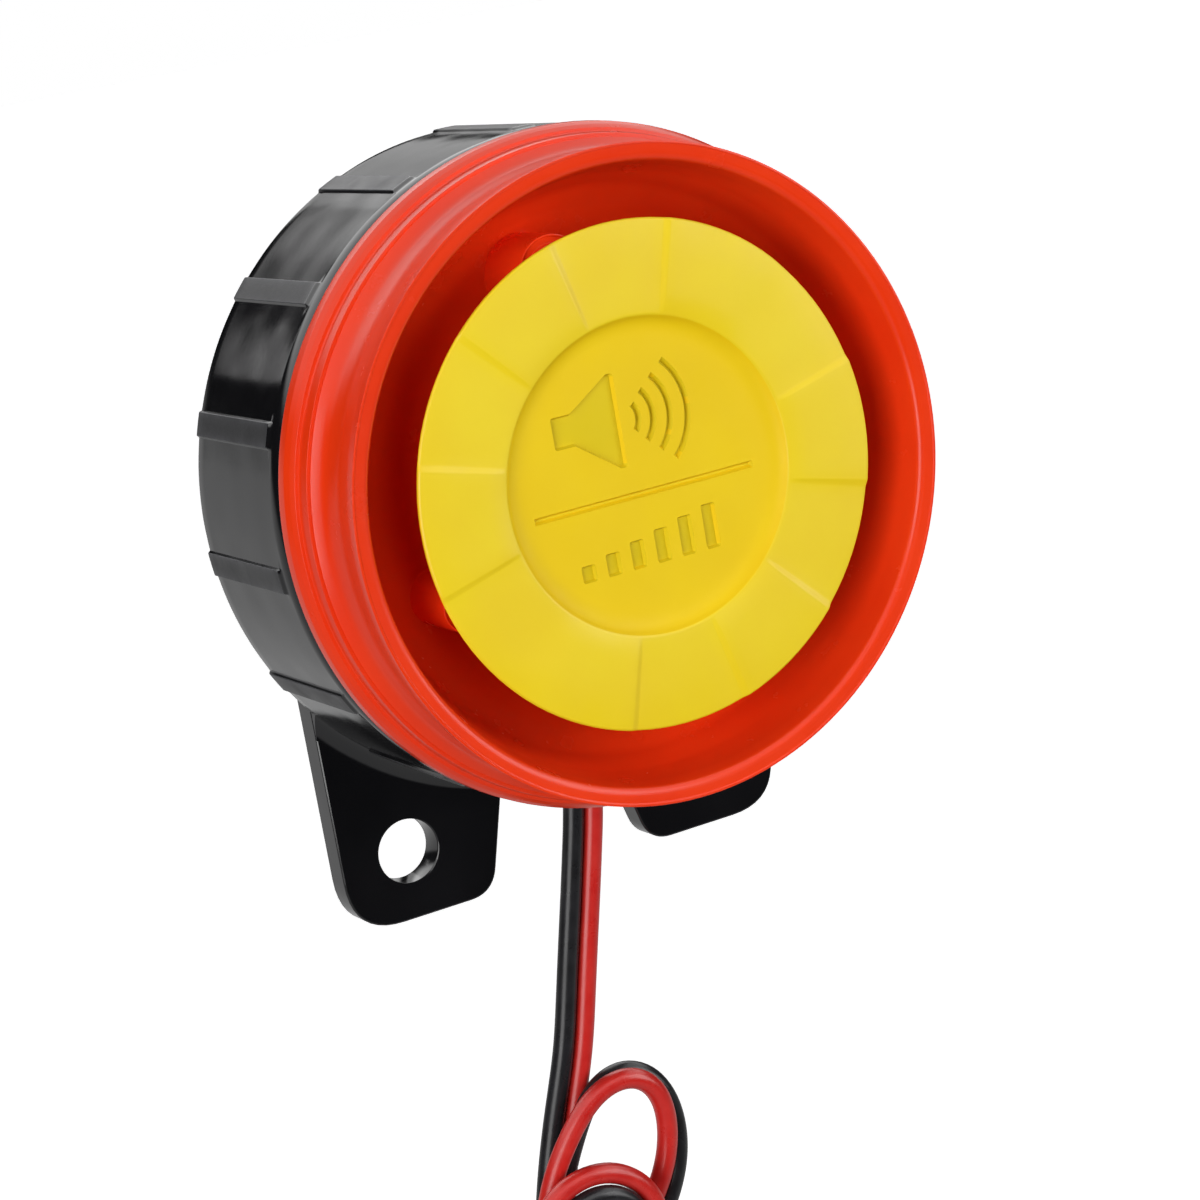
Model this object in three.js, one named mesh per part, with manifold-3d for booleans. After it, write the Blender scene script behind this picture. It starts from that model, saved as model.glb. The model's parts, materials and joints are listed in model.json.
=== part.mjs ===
// Electronic alarm siren: a moving-coil horn driver behind a red horn shell with a yellow front disc,
// closed by a ribbed black rear housing that carries two mounting ears and two hanging supply wires.
//
// Millimetres. +Z is up, the mouth of the horn faces -Y, and the origin is the centre of the flat rear
// face. "Depth" is the distance behind the front lip of the horn: Y = depth - TOTAL_DEPTH.
import * as THREE from 'three';
import { mergeVertices } from 'three/addons/utils/BufferGeometryUtils.js';
import Module from 'manifold-3d';

const wasm = await Module();
wasm.setup();

// ---------------------------------------------------------------- driving dimensions
const TOTAL_DEPTH = 29.9;
const ROUND = 48; // sides of the shell and the other large round parts
const DRIVER_ROUND = 32; // sides of the driver's round parts
const SMALL_ROUND = 12; // sides of posts, pins and screws

// Horn shell
const LIP_R = 25.85;
const LIP_INNER_R = 24.4;
const LIP_INNER_DEPTH = 0.35;
const WAIST_R = 25.1;
const WAIST_DEPTH = 4.2;
const FLANGE_R = 27.5;
const FLANGE_DEPTH = 10.1;
const SPIGOT_R = 25.0;
const SPIGOT_DEPTH = 13.4;
const THROAT_R = 7.0;
const LAND_R = 18.2; // flat land that the driver is screwed to
const LAND_DEPTH = 13.6;
const FLOOR_BACK_DEPTH = 11.9;
const PILLAR_R = 2.8;
const PILLAR_AT_R = 17.6;
const PILLAR_FRONT_DEPTH = 3.2;
const PILLAR_ANGLES = [15, 104, 202, 285];
const PILLAR_BORE_R = 1.2;

// Front disc
const DISC_R = 20.0;
const DISC_BACK_R = 18.9;
const DISC_FRONT_DEPTH = 1.05;
const DISC_BACK_DEPTH = 2.9;
const RECESS_R = 12.55;
const RECESS_DEPTH = 0.8;
const ENGRAVING_DEPTH = 0.35;

// Rear housing
const DRUM_FRONT_DEPTH = 10.8;
const DRUM_BACK_DEPTH = 26.9;
const DRUM_BORE_R = 25.3;
const DRUM_R = 27.38;
const RIM_R = 27.1; // at the drum's very front, where its edge is chamfered
const RIM_WIDTH = 1.4;
const RIB_COUNT = 15;
const RIB_HALF_ANGLE = 2.1;
const RIB_R = 27.6;
const BACK_PLATE_R = 26.2;
const REAR_WALL = 2.0;
const EAR_THICKNESS = 2.6;
const EAR_HOLE_R = 2.75;
const WEB_R = 28.9; // how far the slope between the drum and the ears reaches
const EAR_HOLE_X = 14.9;
const EAR_HOLE_Z = -31.2;

// Screws that hold the housing to the shell, M2.5
const SCREW_AT_R = 21.3;
const SCREW_ANGLES = [90, 210, 330];
const SCREW_R = 1.25;
const SCREW_CLEAR_R = 1.55;
const SCREW_HEAD_R = 2.2;
const SCREW_SEAT_DEPTH = 27.5;
const SCREW_PILLAR_R = 2.6;
const SCREW_PILLAR_BACK_DEPTH = 25.7;
const COUNTERBORE_R = 2.6;

// Driver
const LUG_ANGLES = [30, 150, 270];
const LUG_AT_R = 19.6;
const LUG_R = 2.3;
const DRIVER_SCREW_R = 0.95;
const CHASSIS_FRONT_DEPTH = 14.5;
const CHASSIS_BORE_R = 12.6;
const TOP_PLATE_R = 16.3;
const TOP_PLATE_DEPTH = 17.2;
const TOP_PLATE_THICKNESS = 1.6;
const MAGNET_R = 15.5;
const MAGNET_THICKNESS = 3.4;
const YOKE_R = 15.2;
const YOKE_THICKNESS = 1.5;
const POLE_R = 6.9;
const DOME_R = 9.6;
const DOME_RISE = 1.6;
const DOME_APEX_DEPTH = 14.7;
const FILM = 0.35; // thickness of the dome and of its surround

// Circuit board
const BOARD_R = 18.0;
const BOARD_DEPTH = 26.1;
const BOARD_THICKNESS = 1.2;
const LOCATING_PIN_X = 11;
const LOCATING_PIN_Z = -9;

// Wires
const WIRE_R = 0.9;
const WIRE_SIDES = 8;
const WIRE_SPACING = 1.85; // between the centres of the black and the red wire
const WIRE_DEPTH = 22.6;
const GLAND_BOTTOM_Z = -28.7;
const GAP = 0.3; // between a wire's end and what it meets
const HANG_ANGLE = 14.4; // lean of the hanging wires from -Z towards -X, in degrees
const HANK_TOP = [-6, -53]; // x and z of the point that hank heights are counted from
const HANK_FRONT_Y = -14.8;
const HANK_BACK_Y = -6.0;
const TIE_HEIGHT = 22.2; // of the tie's middle below HANK_TOP, along the lean
const TIE_WIDTH = 2.4;
const TIE_THICKNESS = 1.0;

const FINISHES = {
  red_shell: { color: 0xe8401f, roughness: 0.38, metalness: 0 },
  yellow_disc: { color: 0xebcf2c, roughness: 0.5, metalness: 0 },
  black_housing: { color: 0x1b1b1d, roughness: 0.3, metalness: 0 },
  black_plastic: { color: 0x242426, roughness: 0.5, metalness: 0 },
  black_rubber: { color: 0x161616, roughness: 0.75, metalness: 0 },
  foam: { color: 0x303033, roughness: 0.95, metalness: 0 },
  film: { color: 0xb8a878, roughness: 0.35, metalness: 0 },
  copper: { color: 0xb8682f, roughness: 0.35, metalness: 1 },
  steel: { color: 0xaaadb0, roughness: 0.35, metalness: 1 },
  ferrite: { color: 0x3a3a3d, roughness: 0.8, metalness: 0 },
  brass: { color: 0xc9a24a, roughness: 0.35, metalness: 1 },
  board: { color: 0x1f6b3a, roughness: 0.5, metalness: 0 },
  red_wire: { color: 0xc42c26, roughness: 0.35, metalness: 0 },
  black_wire: { color: 0x141414, roughness: 0.35, metalness: 0 },
  capacitor_sleeve: { color: 0x23305c, roughness: 0.4, metalness: 0 },
  ceramic: { color: 0xb59468, roughness: 0.6, metalness: 0 },
  tinned: { color: 0xc9c9c6, roughness: 0.3, metalness: 1 },
};

// ---------------------------------------------------------------- helpers
const radians = THREE.MathUtils.degToRad;

const yOf = (depth) => depth - TOTAL_DEPTH;

// The point at a radius and an angle round the horn's axis, counted from +X towards +Z.
function polar(radius, degrees) {
  return { x: radius * Math.cos(radians(degrees)), z: radius * Math.sin(radians(degrees)) };
}

// A closed mesh as a solid: its shared corners merged, and faces without area left out.
function toSolid(geometry) {
  const bare = geometry.clone();
  bare.deleteAttribute('normal');
  bare.deleteAttribute('uv');
  const merged = mergeVertices(bare, 1e-4);
  const corners = merged.index.array;
  const kept = [];
  for (let i = 0; i < corners.length; i += 3) {
    const [a, b, c] = corners.slice(i, i + 3);
    if (a !== b && b !== c && c !== a) kept.push(a, b, c);
  }
  return new wasm.Manifold(new wasm.Mesh({
    numProp: 3,
    vertProperties: merged.attributes.position.array,
    triVerts: new Uint32Array(kept),
  }));
}

function toGeometry(solid) {
  const { vertProperties, triVerts } = solid.getMesh();
  const geometry = new THREE.BufferGeometry();
  geometry.setAttribute('position', new THREE.BufferAttribute(vertProperties, 3));
  geometry.setIndex(new THREE.BufferAttribute(triVerts, 1));
  const flat = geometry.toNonIndexed();
  flat.computeVertexNormals();
  return flat;
}

// First geometry plus the ones in `added`, less the ones in `cut`.
function combine(base, added = [], cut = []) {
  let solid = toSolid(base);
  for (const geometry of added) solid = solid.add(toSolid(geometry));
  for (const geometry of cut) solid = solid.subtract(toSolid(geometry));
  return toGeometry(solid);
}

// What of one geometry lies within another.
function within(geometry, limit) {
  return toGeometry(toSolid(geometry).intersect(toSolid(limit)));
}

// A round part about the horn's axis, from a closed outline of [radius, depth] corners.
function turned(outline, sides = ROUND) {
  const points = outline.map(([radius, depth]) => new THREE.Vector2(radius, yOf(depth)));
  if (THREE.ShapeUtils.area(points) < 0) points.reverse();
  const onAxis = points.some((point) => point.x === 0);
  if (onAxis) while (points[0].x !== 0 || points.at(-1).x !== 0) points.push(points.shift());
  else points.push(points[0].clone());
  return new THREE.LatheGeometry(points, sides);
}

// A cylinder parallel to the horn's axis.
function post(radius, frontDepth, backDepth, { x, z }, sides = SMALL_ROUND) {
  const length = backDepth - frontDepth;
  return new THREE.CylinderGeometry(radius, radius, length, sides)
    .translate(x, yOf(frontDepth + length / 2), z);
}

// A shape drawn in X and Z, as thick as the two depths say.
function slab(shape, frontDepth, backDepth, curveSegments = 8) {
  const thickness = backDepth - frontDepth;
  return new THREE.ExtrudeGeometry(shape, { depth: thickness, bevelEnabled: false, curveSegments })
    .rotateX(Math.PI / 2)
    .translate(0, yOf(backDepth), 0);
}

function block(sizeX, sizeZ, frontDepth, backDepth, x, z) {
  const thickness = backDepth - frontDepth;
  return new THREE.BoxGeometry(sizeX, thickness, sizeZ).translate(x, yOf(frontDepth + thickness / 2), z);
}

// An upright prism whose plan, in X and Y, is a bar with round ends.
function oval(width, breadth, lowZ, highZ) {
  const half = width / 2 - breadth / 2;
  const shape = new THREE.Shape();
  shape.absarc(half, 0, breadth / 2, -Math.PI / 2, Math.PI / 2, false);
  shape.absarc(-half, 0, breadth / 2, Math.PI / 2, Math.PI * 1.5, false);
  return new THREE.ExtrudeGeometry(shape, { depth: highZ - lowZ, bevelEnabled: false, curveSegments: 4 })
    .translate(0, yOf(WIRE_DEPTH), lowZ);
}

// A round wire through the points, with flat ends.
function wire(points, radius, steps) {
  const section = new THREE.Shape().absarc(0, 0, radius, 0, Math.PI * 2, false);
  return new THREE.ExtrudeGeometry(section, {
    steps,
    bevelEnabled: false,
    curveSegments: WIRE_SIDES / 2,
    extrudePath: new THREE.CatmullRomCurve3(points.map((point) => new THREE.Vector3(...point))),
  });
}

// ---------------------------------------------------------------- horn
function hornShell() {
  const body = turned([
    [LIP_INNER_R, LIP_INNER_DEPTH], [LIP_R, 0], [LIP_R - 0.12, 1.0], [25.35, 2.5],
    [WAIST_R, WAIST_DEPTH], [25.35, 5.9], [26.3, 7.0], [26.7, 7.1], [26.75, 8.1], [27.1, 8.25],
    [FLANGE_R, 9.4], [FLANGE_R, FLANGE_DEPTH],
    [SPIGOT_R, FLANGE_DEPTH], [SPIGOT_R, SPIGOT_DEPTH], [23.6, SPIGOT_DEPTH], [23.6, FLOOR_BACK_DEPTH],
    [LAND_R, FLOOR_BACK_DEPTH], [LAND_R, LAND_DEPTH], [THROAT_R, LAND_DEPTH],
    [THROAT_R, 11.6], [8.0, 11.0], [17.0, 9.9], [20.4, 8.9], [22.4, 7.2], [23.5, 4.8], [24.2, 2.4],
  ]);
  const added = [];
  const cut = [];
  for (const angle of PILLAR_ANGLES) {
    const place = polar(PILLAR_AT_R, angle);
    added.push(post(PILLAR_R, PILLAR_FRONT_DEPTH, FLOOR_BACK_DEPTH - 0.4, place));
    cut.push(post(PILLAR_BORE_R, PILLAR_FRONT_DEPTH - 1, 7.4, place));
  }
  for (const angle of SCREW_ANGLES) {
    const place = polar(SCREW_AT_R, angle);
    added.push(post(SCREW_PILLAR_R, FLOOR_BACK_DEPTH - 0.4, SCREW_PILLAR_BACK_DEPTH, place));
    cut.push(post(SCREW_CLEAR_R, 18.6, SCREW_PILLAR_BACK_DEPTH + 1, place));
  }
  for (const angle of LUG_ANGLES) {
    const place = polar(LUG_AT_R, angle);
    added.push(post(LUG_R, FLOOR_BACK_DEPTH - 0.4, LAND_DEPTH, place));
    cut.push(post(DRIVER_SCREW_R + 0.25, 11.0, LAND_DEPTH + 1, place));
  }
  return combine(body, added, cut);
}

// Loudspeaker outline, four sound arcs, a rule, and a row of level bars below it.
function engraving() {
  const front = DISC_FRONT_DEPTH + RECESS_DEPTH - 1;
  const back = DISC_FRONT_DEPTH + RECESS_DEPTH + ENGRAVING_DEPTH;
  const loudspeaker = new THREE.Shape([
    [-7.3, 3.7], [-7.3, 6.1], [-5.6, 6.1], [-2.0, 8.4], [-1.5, 8.4], [-1.5, 1.1], [-2.0, 1.1], [-5.6, 3.7],
  ].map(([x, z]) => new THREE.Vector2(x, z)));
  const cuts = [slab(loudspeaker, front, back)];
  const centreZ = 4.65;
  const halfWidth = 0.22;
  [0.2, 1.5, 3.0, 4.6].forEach((reach, i) => {
    const radius = 1.6 + i * 1.25;
    const spread = Math.asin((1.0 + i * 0.95) / radius);
    const arc = new THREE.Shape();
    arc.absarc(reach - radius, centreZ, radius + halfWidth, -spread, spread, false);
    arc.absarc(reach - radius, centreZ, radius - halfWidth, spread, -spread, true);
    cuts.push(slab(arc, front, back, 7));
  });
  cuts.push(block(19.6, 0.45, front, back, -0.3, -1.35));
  for (let i = 0; i < 6; i++) {
    const height = 1.2 + i * 0.45;
    cuts.push(block(1.2, height, front, back, -6.3 + i * 2.25, -7.0 + height / 2));
  }
  return cuts;
}

function frontDisc() {
  const floor = DISC_FRONT_DEPTH + RECESS_DEPTH;
  const body = turned([
    [0, floor], [RECESS_R - 1.2, floor], [RECESS_R - 0.4, floor - 0.3], [RECESS_R, DISC_FRONT_DEPTH],
    [DISC_R - 0.2, DISC_FRONT_DEPTH], [DISC_R, DISC_FRONT_DEPTH + 0.2], [DISC_BACK_R, DISC_BACK_DEPTH],
    [0, DISC_BACK_DEPTH],
  ]);
  const pins = PILLAR_ANGLES.map((angle) => (
    post(PILLAR_BORE_R - GAP, DISC_BACK_DEPTH - 0.5, 6.8, polar(PILLAR_AT_R, angle), 8)
  ));
  return combine(body, pins, engraving());
}

// ---------------------------------------------------------------- housing
// The drum's outline: fifteen narrow ribs that stand a little above the round wall.
function ribbedDrum() {
  const outline = new THREE.Shape();
  const flank = RIB_HALF_ANGLE + 0.3;
  const pitch = 360 / RIB_COUNT;
  const wallStep = (pitch - 2 * flank) / 5;
  for (let i = 0; i < RIB_COUNT; i++) {
    const corners = [[RIB_R, -RIB_HALF_ANGLE], [RIB_R, 0], [RIB_R, RIB_HALF_ANGLE]];
    for (let k = 0; k <= 5; k++) corners.push([DRUM_R, flank + k * wallStep]);
    for (const [radius, offset] of corners) {
      const { x, z } = polar(radius, 90 + i * pitch + offset);
      if (outline.curves.length || outline.currentPoint.length()) outline.lineTo(x, z);
      else outline.moveTo(x, z);
    }
  }
  return slab(outline, DRUM_FRONT_DEPTH + RIM_WIDTH, DRUM_BACK_DEPTH);
}

// One mounting ear, on the side that the sign says; its top lies inside the back plate.
function ear(side, thickness = EAR_THICKNESS) {
  const outline = new THREE.Shape();
  outline.moveTo(21.2 * side, -12);
  outline.lineTo(21.2 * side, -32.4);
  outline.quadraticCurveTo(21.2 * side, -37.1, 16.4 * side, -37.1);
  outline.lineTo(10.7 * side, -37.1);
  outline.quadraticCurveTo(8.0 * side, -37.1, 7.3 * side, -34.4);
  outline.lineTo(5.4 * side, -28.2);
  outline.quadraticCurveTo(4.9 * side, -26.3, 3.4 * side, -25.4);
  outline.lineTo(3.4 * side, -12);
  return slab(outline, TOTAL_DEPTH - thickness, TOTAL_DEPTH, 5);
}

// The slope from the drum's wall down to an ear's front face.
function earWeb(side) {
  const foot = TOTAL_DEPTH - EAR_THICKNESS + 0.5;
  const slope = turned([
    [DRUM_R - 1, DRUM_BACK_DEPTH - 1.5], [DRUM_R, DRUM_BACK_DEPTH - 1.2], [DRUM_R + 0.6, DRUM_BACK_DEPTH - 0.2],
    [WEB_R, foot - 0.5], [WEB_R, foot], [DRUM_R - 1, foot],
  ], 2 * ROUND);
  return within(slope, ear(side, 6));
}

function rearHousing() {
  const rearWallDepth = TOTAL_DEPTH - REAR_WALL;
  const backPlate = turned([
    [0, DRUM_BACK_DEPTH - 0.5], [BACK_PLATE_R, DRUM_BACK_DEPTH - 0.5], [BACK_PLATE_R, TOTAL_DEPTH - 0.6],
    [BACK_PLATE_R - 0.6, TOTAL_DEPTH], [0, TOTAL_DEPTH],
  ]);
  const rim = turned([
    [0, DRUM_FRONT_DEPTH], [RIM_R, DRUM_FRONT_DEPTH], [DRUM_R, DRUM_FRONT_DEPTH + 0.7],
    [DRUM_R, DRUM_FRONT_DEPTH + RIM_WIDTH + 0.2], [0, DRUM_FRONT_DEPTH + RIM_WIDTH + 0.2],
  ], 2 * ROUND);
  const cavity = turned([
    [0, DRUM_FRONT_DEPTH - 1], [DRUM_BORE_R, DRUM_FRONT_DEPTH - 1], [DRUM_BORE_R, rearWallDepth],
    [0, rearWallDepth],
  ]);
  const shell = combine(ribbedDrum(), [backPlate, rim], [cavity]);
  const added = [ear(-1), ear(1), earWeb(-1), earWeb(1)];
  const cut = [];
  for (const angle of SCREW_ANGLES) {
    const place = polar(SCREW_AT_R, angle);
    added.push(post(COUNTERBORE_R + 0.5, SCREW_PILLAR_BACK_DEPTH + 0.2, rearWallDepth + 0.2, place));
    cut.push(post(SCREW_CLEAR_R, SCREW_PILLAR_BACK_DEPTH - 1, TOTAL_DEPTH + 1, place));
    cut.push(post(COUNTERBORE_R, SCREW_SEAT_DEPTH, TOTAL_DEPTH + 1, place));
  }
  for (const side of [-1, 1]) {
    const pin = { x: side * LOCATING_PIN_X, z: LOCATING_PIN_Z };
    added.push(post(1.0, 25.5, rearWallDepth + 0.2, pin));
    added.push(post(1.8, BOARD_DEPTH + BOARD_THICKNESS + 0.1, rearWallDepth + 0.2, pin));
    const hole = { x: side * EAR_HOLE_X, z: EAR_HOLE_Z };
    cut.push(post(EAR_HOLE_R, TOTAL_DEPTH - EAR_THICKNESS - 1, TOTAL_DEPTH + 1, hole, 20));
  }
  cut.push(oval(6.4, 4.4, -29, -24));
  return combine(shell, added, cut);
}

function sealRing() {
  const front = FLANGE_DEPTH + 0.05;
  const back = DRUM_FRONT_DEPTH - 0.05;
  return turned([[25.4, front], [26.7, front], [26.7, back], [25.4, back]]);
}

function crossSlots(z, x, floorDepth, backDepth) {
  return [block(2.4, 0.7, floorDepth, backDepth, x, z), block(0.7, 2.4, floorDepth, backDepth, x, z)];
}

function housingScrew(angle) {
  const { x, z } = polar(SCREW_AT_R, angle);
  const seat = SCREW_SEAT_DEPTH + 0.1;
  const body = new THREE.LatheGeometry([
    [0, seat + 1.5], [1.6, seat + 1.4], [SCREW_HEAD_R, seat + 0.8], [SCREW_HEAD_R, seat], [SCREW_R, seat],
    [SCREW_R, seat - 7.2], [0, seat - 8.6],
  ].reverse().map(([radius, depth]) => new THREE.Vector2(radius, yOf(depth))), SMALL_ROUND).translate(x, 0, z);
  return combine(body, [], crossSlots(z, x, seat + 0.8, seat + 2));
}

// ---------------------------------------------------------------- driver
function driverGasket() {
  return turned([
    [12.8, LAND_DEPTH + 0.1], [17.8, LAND_DEPTH + 0.1], [17.8, CHASSIS_FRONT_DEPTH - 0.1],
    [12.8, CHASSIS_FRONT_DEPTH - 0.1],
  ], DRIVER_ROUND);
}

function driverChassis() {
  const ledge = TOP_PLATE_DEPTH - 0.1;
  const body = turned([
    [CHASSIS_BORE_R, CHASSIS_FRONT_DEPTH], [LAND_R, CHASSIS_FRONT_DEPTH], [LAND_R, 19.6],
    [TOP_PLATE_R + GAP, 19.6], [TOP_PLATE_R + GAP, ledge], [CHASSIS_BORE_R, ledge],
  ], DRIVER_ROUND);
  const places = LUG_ANGLES.map((angle) => polar(LUG_AT_R, angle));
  const lugs = places.map((place) => post(LUG_R, CHASSIS_FRONT_DEPTH, 16, place));
  const holes = places.map((place) => post(DRIVER_SCREW_R + 0.25, CHASSIS_FRONT_DEPTH - 1, 17, place));
  const headRoom = places.map((place) => post(2.0, 16.0, 20.6, place));
  return combine(body, lugs, [...holes, ...headRoom]);
}

function driverScrew(angle) {
  const { x, z } = polar(LUG_AT_R, angle);
  const seat = 16.1;
  const body = new THREE.LatheGeometry([
    [0, seat + 1.2], [1.3, seat + 1.1], [1.7, seat + 0.6], [1.7, seat], [DRIVER_SCREW_R, seat],
    [DRIVER_SCREW_R, seat - 3.9], [0, seat - 4.8],
  ].reverse().map(([radius, depth]) => new THREE.Vector2(radius, yOf(depth))), SMALL_ROUND).translate(x, 0, z);
  return combine(body, [], crossSlots(z, x, seat + 0.7, seat + 2));
}

// Thin spherical cap, hollow towards the magnet.
function diaphragmDome() {
  const sphere = (DOME_R ** 2 + DOME_RISE ** 2) / (2 * DOME_RISE);
  const steps = 5;
  const front = [];
  for (let i = 0; i <= steps; i++) {
    const radius = (DOME_R * i) / steps;
    front.push([radius, DOME_APEX_DEPTH + sphere - Math.sqrt(sphere ** 2 - radius ** 2)]);
  }
  const back = front.map(([radius, depth]) => [radius, depth + FILM]).reverse();
  return turned([...front, ...back], DRIVER_ROUND);
}

// Half-roll ring between the dome's edge and the chassis.
function diaphragmSurround() {
  const middle = 11.1;
  const halfWidth = 1.15;
  const crown = 16.2;
  const steps = 4;
  const front = [];
  for (let i = 0; i <= steps; i++) {
    const turn = (Math.PI * i) / steps;
    front.push([middle - halfWidth * Math.cos(turn), crown - 0.9 * Math.sin(turn)]);
  }
  const back = front.map(([radius, depth]) => [radius, depth + FILM]).reverse();
  return turned([...front, ...back], DRIVER_ROUND);
}

function coilFormer() {
  return turned([[7.25, 16.15], [7.5, 16.15], [7.5, 20.2], [7.25, 20.2]], DRIVER_ROUND);
}

function voiceCoil() {
  return turned([[7.56, 17.0], [7.95, 17.0], [7.95, 19.0], [7.56, 19.0]], DRIVER_ROUND);
}

function topPlate() {
  const back = TOP_PLATE_DEPTH + TOP_PLATE_THICKNESS;
  return turned([[8.35, TOP_PLATE_DEPTH], [TOP_PLATE_R, TOP_PLATE_DEPTH], [TOP_PLATE_R, back], [8.35, back]], DRIVER_ROUND);
}

const MAGNET_DEPTH = TOP_PLATE_DEPTH + TOP_PLATE_THICKNESS + 0.1;
const YOKE_DEPTH = MAGNET_DEPTH + MAGNET_THICKNESS + 0.1;

function magnet() {
  const back = MAGNET_DEPTH + MAGNET_THICKNESS;
  return turned([[9.5, MAGNET_DEPTH], [MAGNET_R, MAGNET_DEPTH], [MAGNET_R, back], [9.5, back]], DRIVER_ROUND);
}

function yoke() {
  const back = YOKE_DEPTH + YOKE_THICKNESS;
  return turned([
    [0, TOP_PLATE_DEPTH], [POLE_R, TOP_PLATE_DEPTH], [POLE_R, YOKE_DEPTH], [YOKE_R, YOKE_DEPTH],
    [YOKE_R, back - 0.3], [YOKE_R - 0.3, back], [0, back],
  ], DRIVER_ROUND);
}

function terminalStrip() {
  return block(3.6, 8.4, 16.4, 17.2, 20.4, 0);
}

function terminalLug(side) {
  return block(2.2, 1.8, 17.25, 17.65, 20.6, side * 2.4);
}

function coilLead(side) {
  const z = side * 2.4;
  return wire([
    [20.6, yOf(17.95), z], [20.6, yOf(19.0), z], [20.0, yOf(20.8), z], [18.0, yOf(23.4), z],
    [16.6, yOf(24.8), z], [16.4, yOf(25.8), z],
  ], 0.4, 9);
}

// ---------------------------------------------------------------- electronics
function circuitBoard() {
  const holes = [-1, 1].map((side) => (
    post(1.3, BOARD_DEPTH - 1, 29, { x: side * LOCATING_PIN_X, z: LOCATING_PIN_Z })
  ));
  return combine(post(BOARD_R, BOARD_DEPTH, BOARD_DEPTH + BOARD_THICKNESS, { x: 0, z: 0 }, DRIVER_ROUND), [], holes);
}

// A moulded package lying on the board's front, with a row of leads at each long side.
function chip(x, z, sizeX, sizeZ, height, leadsPerSide, pitch) {
  const face = BOARD_DEPTH - 0.05;
  const leads = [];
  for (const side of [-1, 1]) {
    for (let i = 0; i < leadsPerSide; i++) {
      const along = (i - (leadsPerSide - 1) / 2) * pitch;
      leads.push(block(0.42, 1.3, face - 0.35, face, x + along, z + side * (sizeZ / 2 + 0.4)));
    }
  }
  return combine(block(sizeX, sizeZ, face - height, face - 0.1, x, z), leads);
}

function chipResistor(z) {
  return block(3.2, 1.6, BOARD_DEPTH - 0.65, BOARD_DEPTH - 0.05, 7.5, z);
}

function ceramicCapacitor() {
  return block(1.3, 2.1, BOARD_DEPTH - 1.0, BOARD_DEPTH - 0.05, -7.2, 6.0);
}

function protectionDiode() {
  const face = BOARD_DEPTH - 0.05;
  return combine(block(4.3, 2.6, face - 1.9, face - 0.1, 0, -8.5), [
    block(5.4, 1.4, face - 0.3, face, 0, -8.5),
  ]);
}

// Radial can laid over beside the magnet, its two leads bent back to the board.
function electrolyticCapacitor() {
  const x = -20.9;
  const y = yOf(22.6);
  const can = new THREE.CylinderGeometry(2.5, 2.5, 7, 20).rotateX(Math.PI / 2).translate(x, y, 0.6);
  const leads = [-1, 1].map((side) => wire([
    [x + side, y, -2.4], [x + side, y, -4.2], [x + 1.6 + side, yOf(23.6), -5.4],
    [x + 4.4 + side * 0.8, yOf(24.8), -5.6], [x + 4.6 + side * 0.8, yOf(25.9), -5.6],
  ], 0.25, 8));
  return combine(can, leads);
}

// ---------------------------------------------------------------- wires
function cableGrommet() {
  const neck = oval(5.8, 3.8, -27.8, -24.8);
  return combine(neck, [oval(8.0, 5.6, GLAND_BOTTOM_Z, -27.7), oval(7.6, 5.4, -24.9, -24.0)]);
}

function innerLead(side) {
  const x = (side * WIRE_SPACING) / 2;
  const y = yOf(WIRE_DEPTH);
  return wire([
    [x, y, -24 + GAP], [x, y, -21.8], [x, y + 0.4, -19.6], [x * 1.2, y + 1.5, -17.9],
    [x * 1.3, yOf(25.7), -16.9],
  ], WIRE_R, 7);
}

// The pair's own line, from the grommet to the hank, a little slanted as it hangs.
const PAIR_ROUTE = [
  [0.0, -7.3, GLAND_BOTTOM_Z - GAP], [-0.25, -7.3, -30.4], [-0.95, -7.3, -33.4], [-1.75, -7.3, -36.8],
  [-2.6, -7.3, -40.2], [-3.45, -7.3, -43.6], [-4.35, -7.3, -47.3], [-5.3, -7.3, -51.05],
];

function hangingWire(side) {
  const offset = (side * WIRE_SPACING) / 2;
  return wire(PAIR_ROUTE.map(([x, y, z]) => [x + offset, y, z]), WIRE_R, 8);
}

// From the hank's own frame, across and down from HANK_TOP, to the part's frame.
function placeInHank(geometry) {
  return geometry.rotateY(radians(HANG_ANGLE)).translate(HANK_TOP[0], 0, HANK_TOP[1]);
}

// The outer shape of the bundled loops: two loops above the tie, two below it.
function wireHank() {
  const outline = new THREE.Shape();
  outline.moveTo(3.8, 1.7);
  outline.splineThru([
    [8.6, -0.6], [10.3, -5.9], [9.4, -12], [6.7, -18], [5.7, -22.2], [6.5, -26], [8.4, -30], [8.6, -34],
    [6.0, -37.4], [2.0, -38.4], [-2.2, -37.4], [-4.8, -34], [-4.6, -30], [-2.6, -26], [-1.8, -22.2],
    [-3.0, -18], [-5.0, -13.4], [-5.6, -9.4], [-4.8, -3.8], [-2.2, 0.9], [0.6, 1.75], [3.8, 1.7],
  ].map(([across, up]) => new THREE.Vector2(across, up)));
  const solid = new THREE.ExtrudeGeometry(outline, {
    depth: HANK_BACK_Y - HANK_FRONT_Y,
    bevelEnabled: false,
    curveSegments: 2,
  });
  return placeInHank(solid.rotateX(Math.PI / 2).translate(0, HANK_BACK_Y, 0));
}

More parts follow.
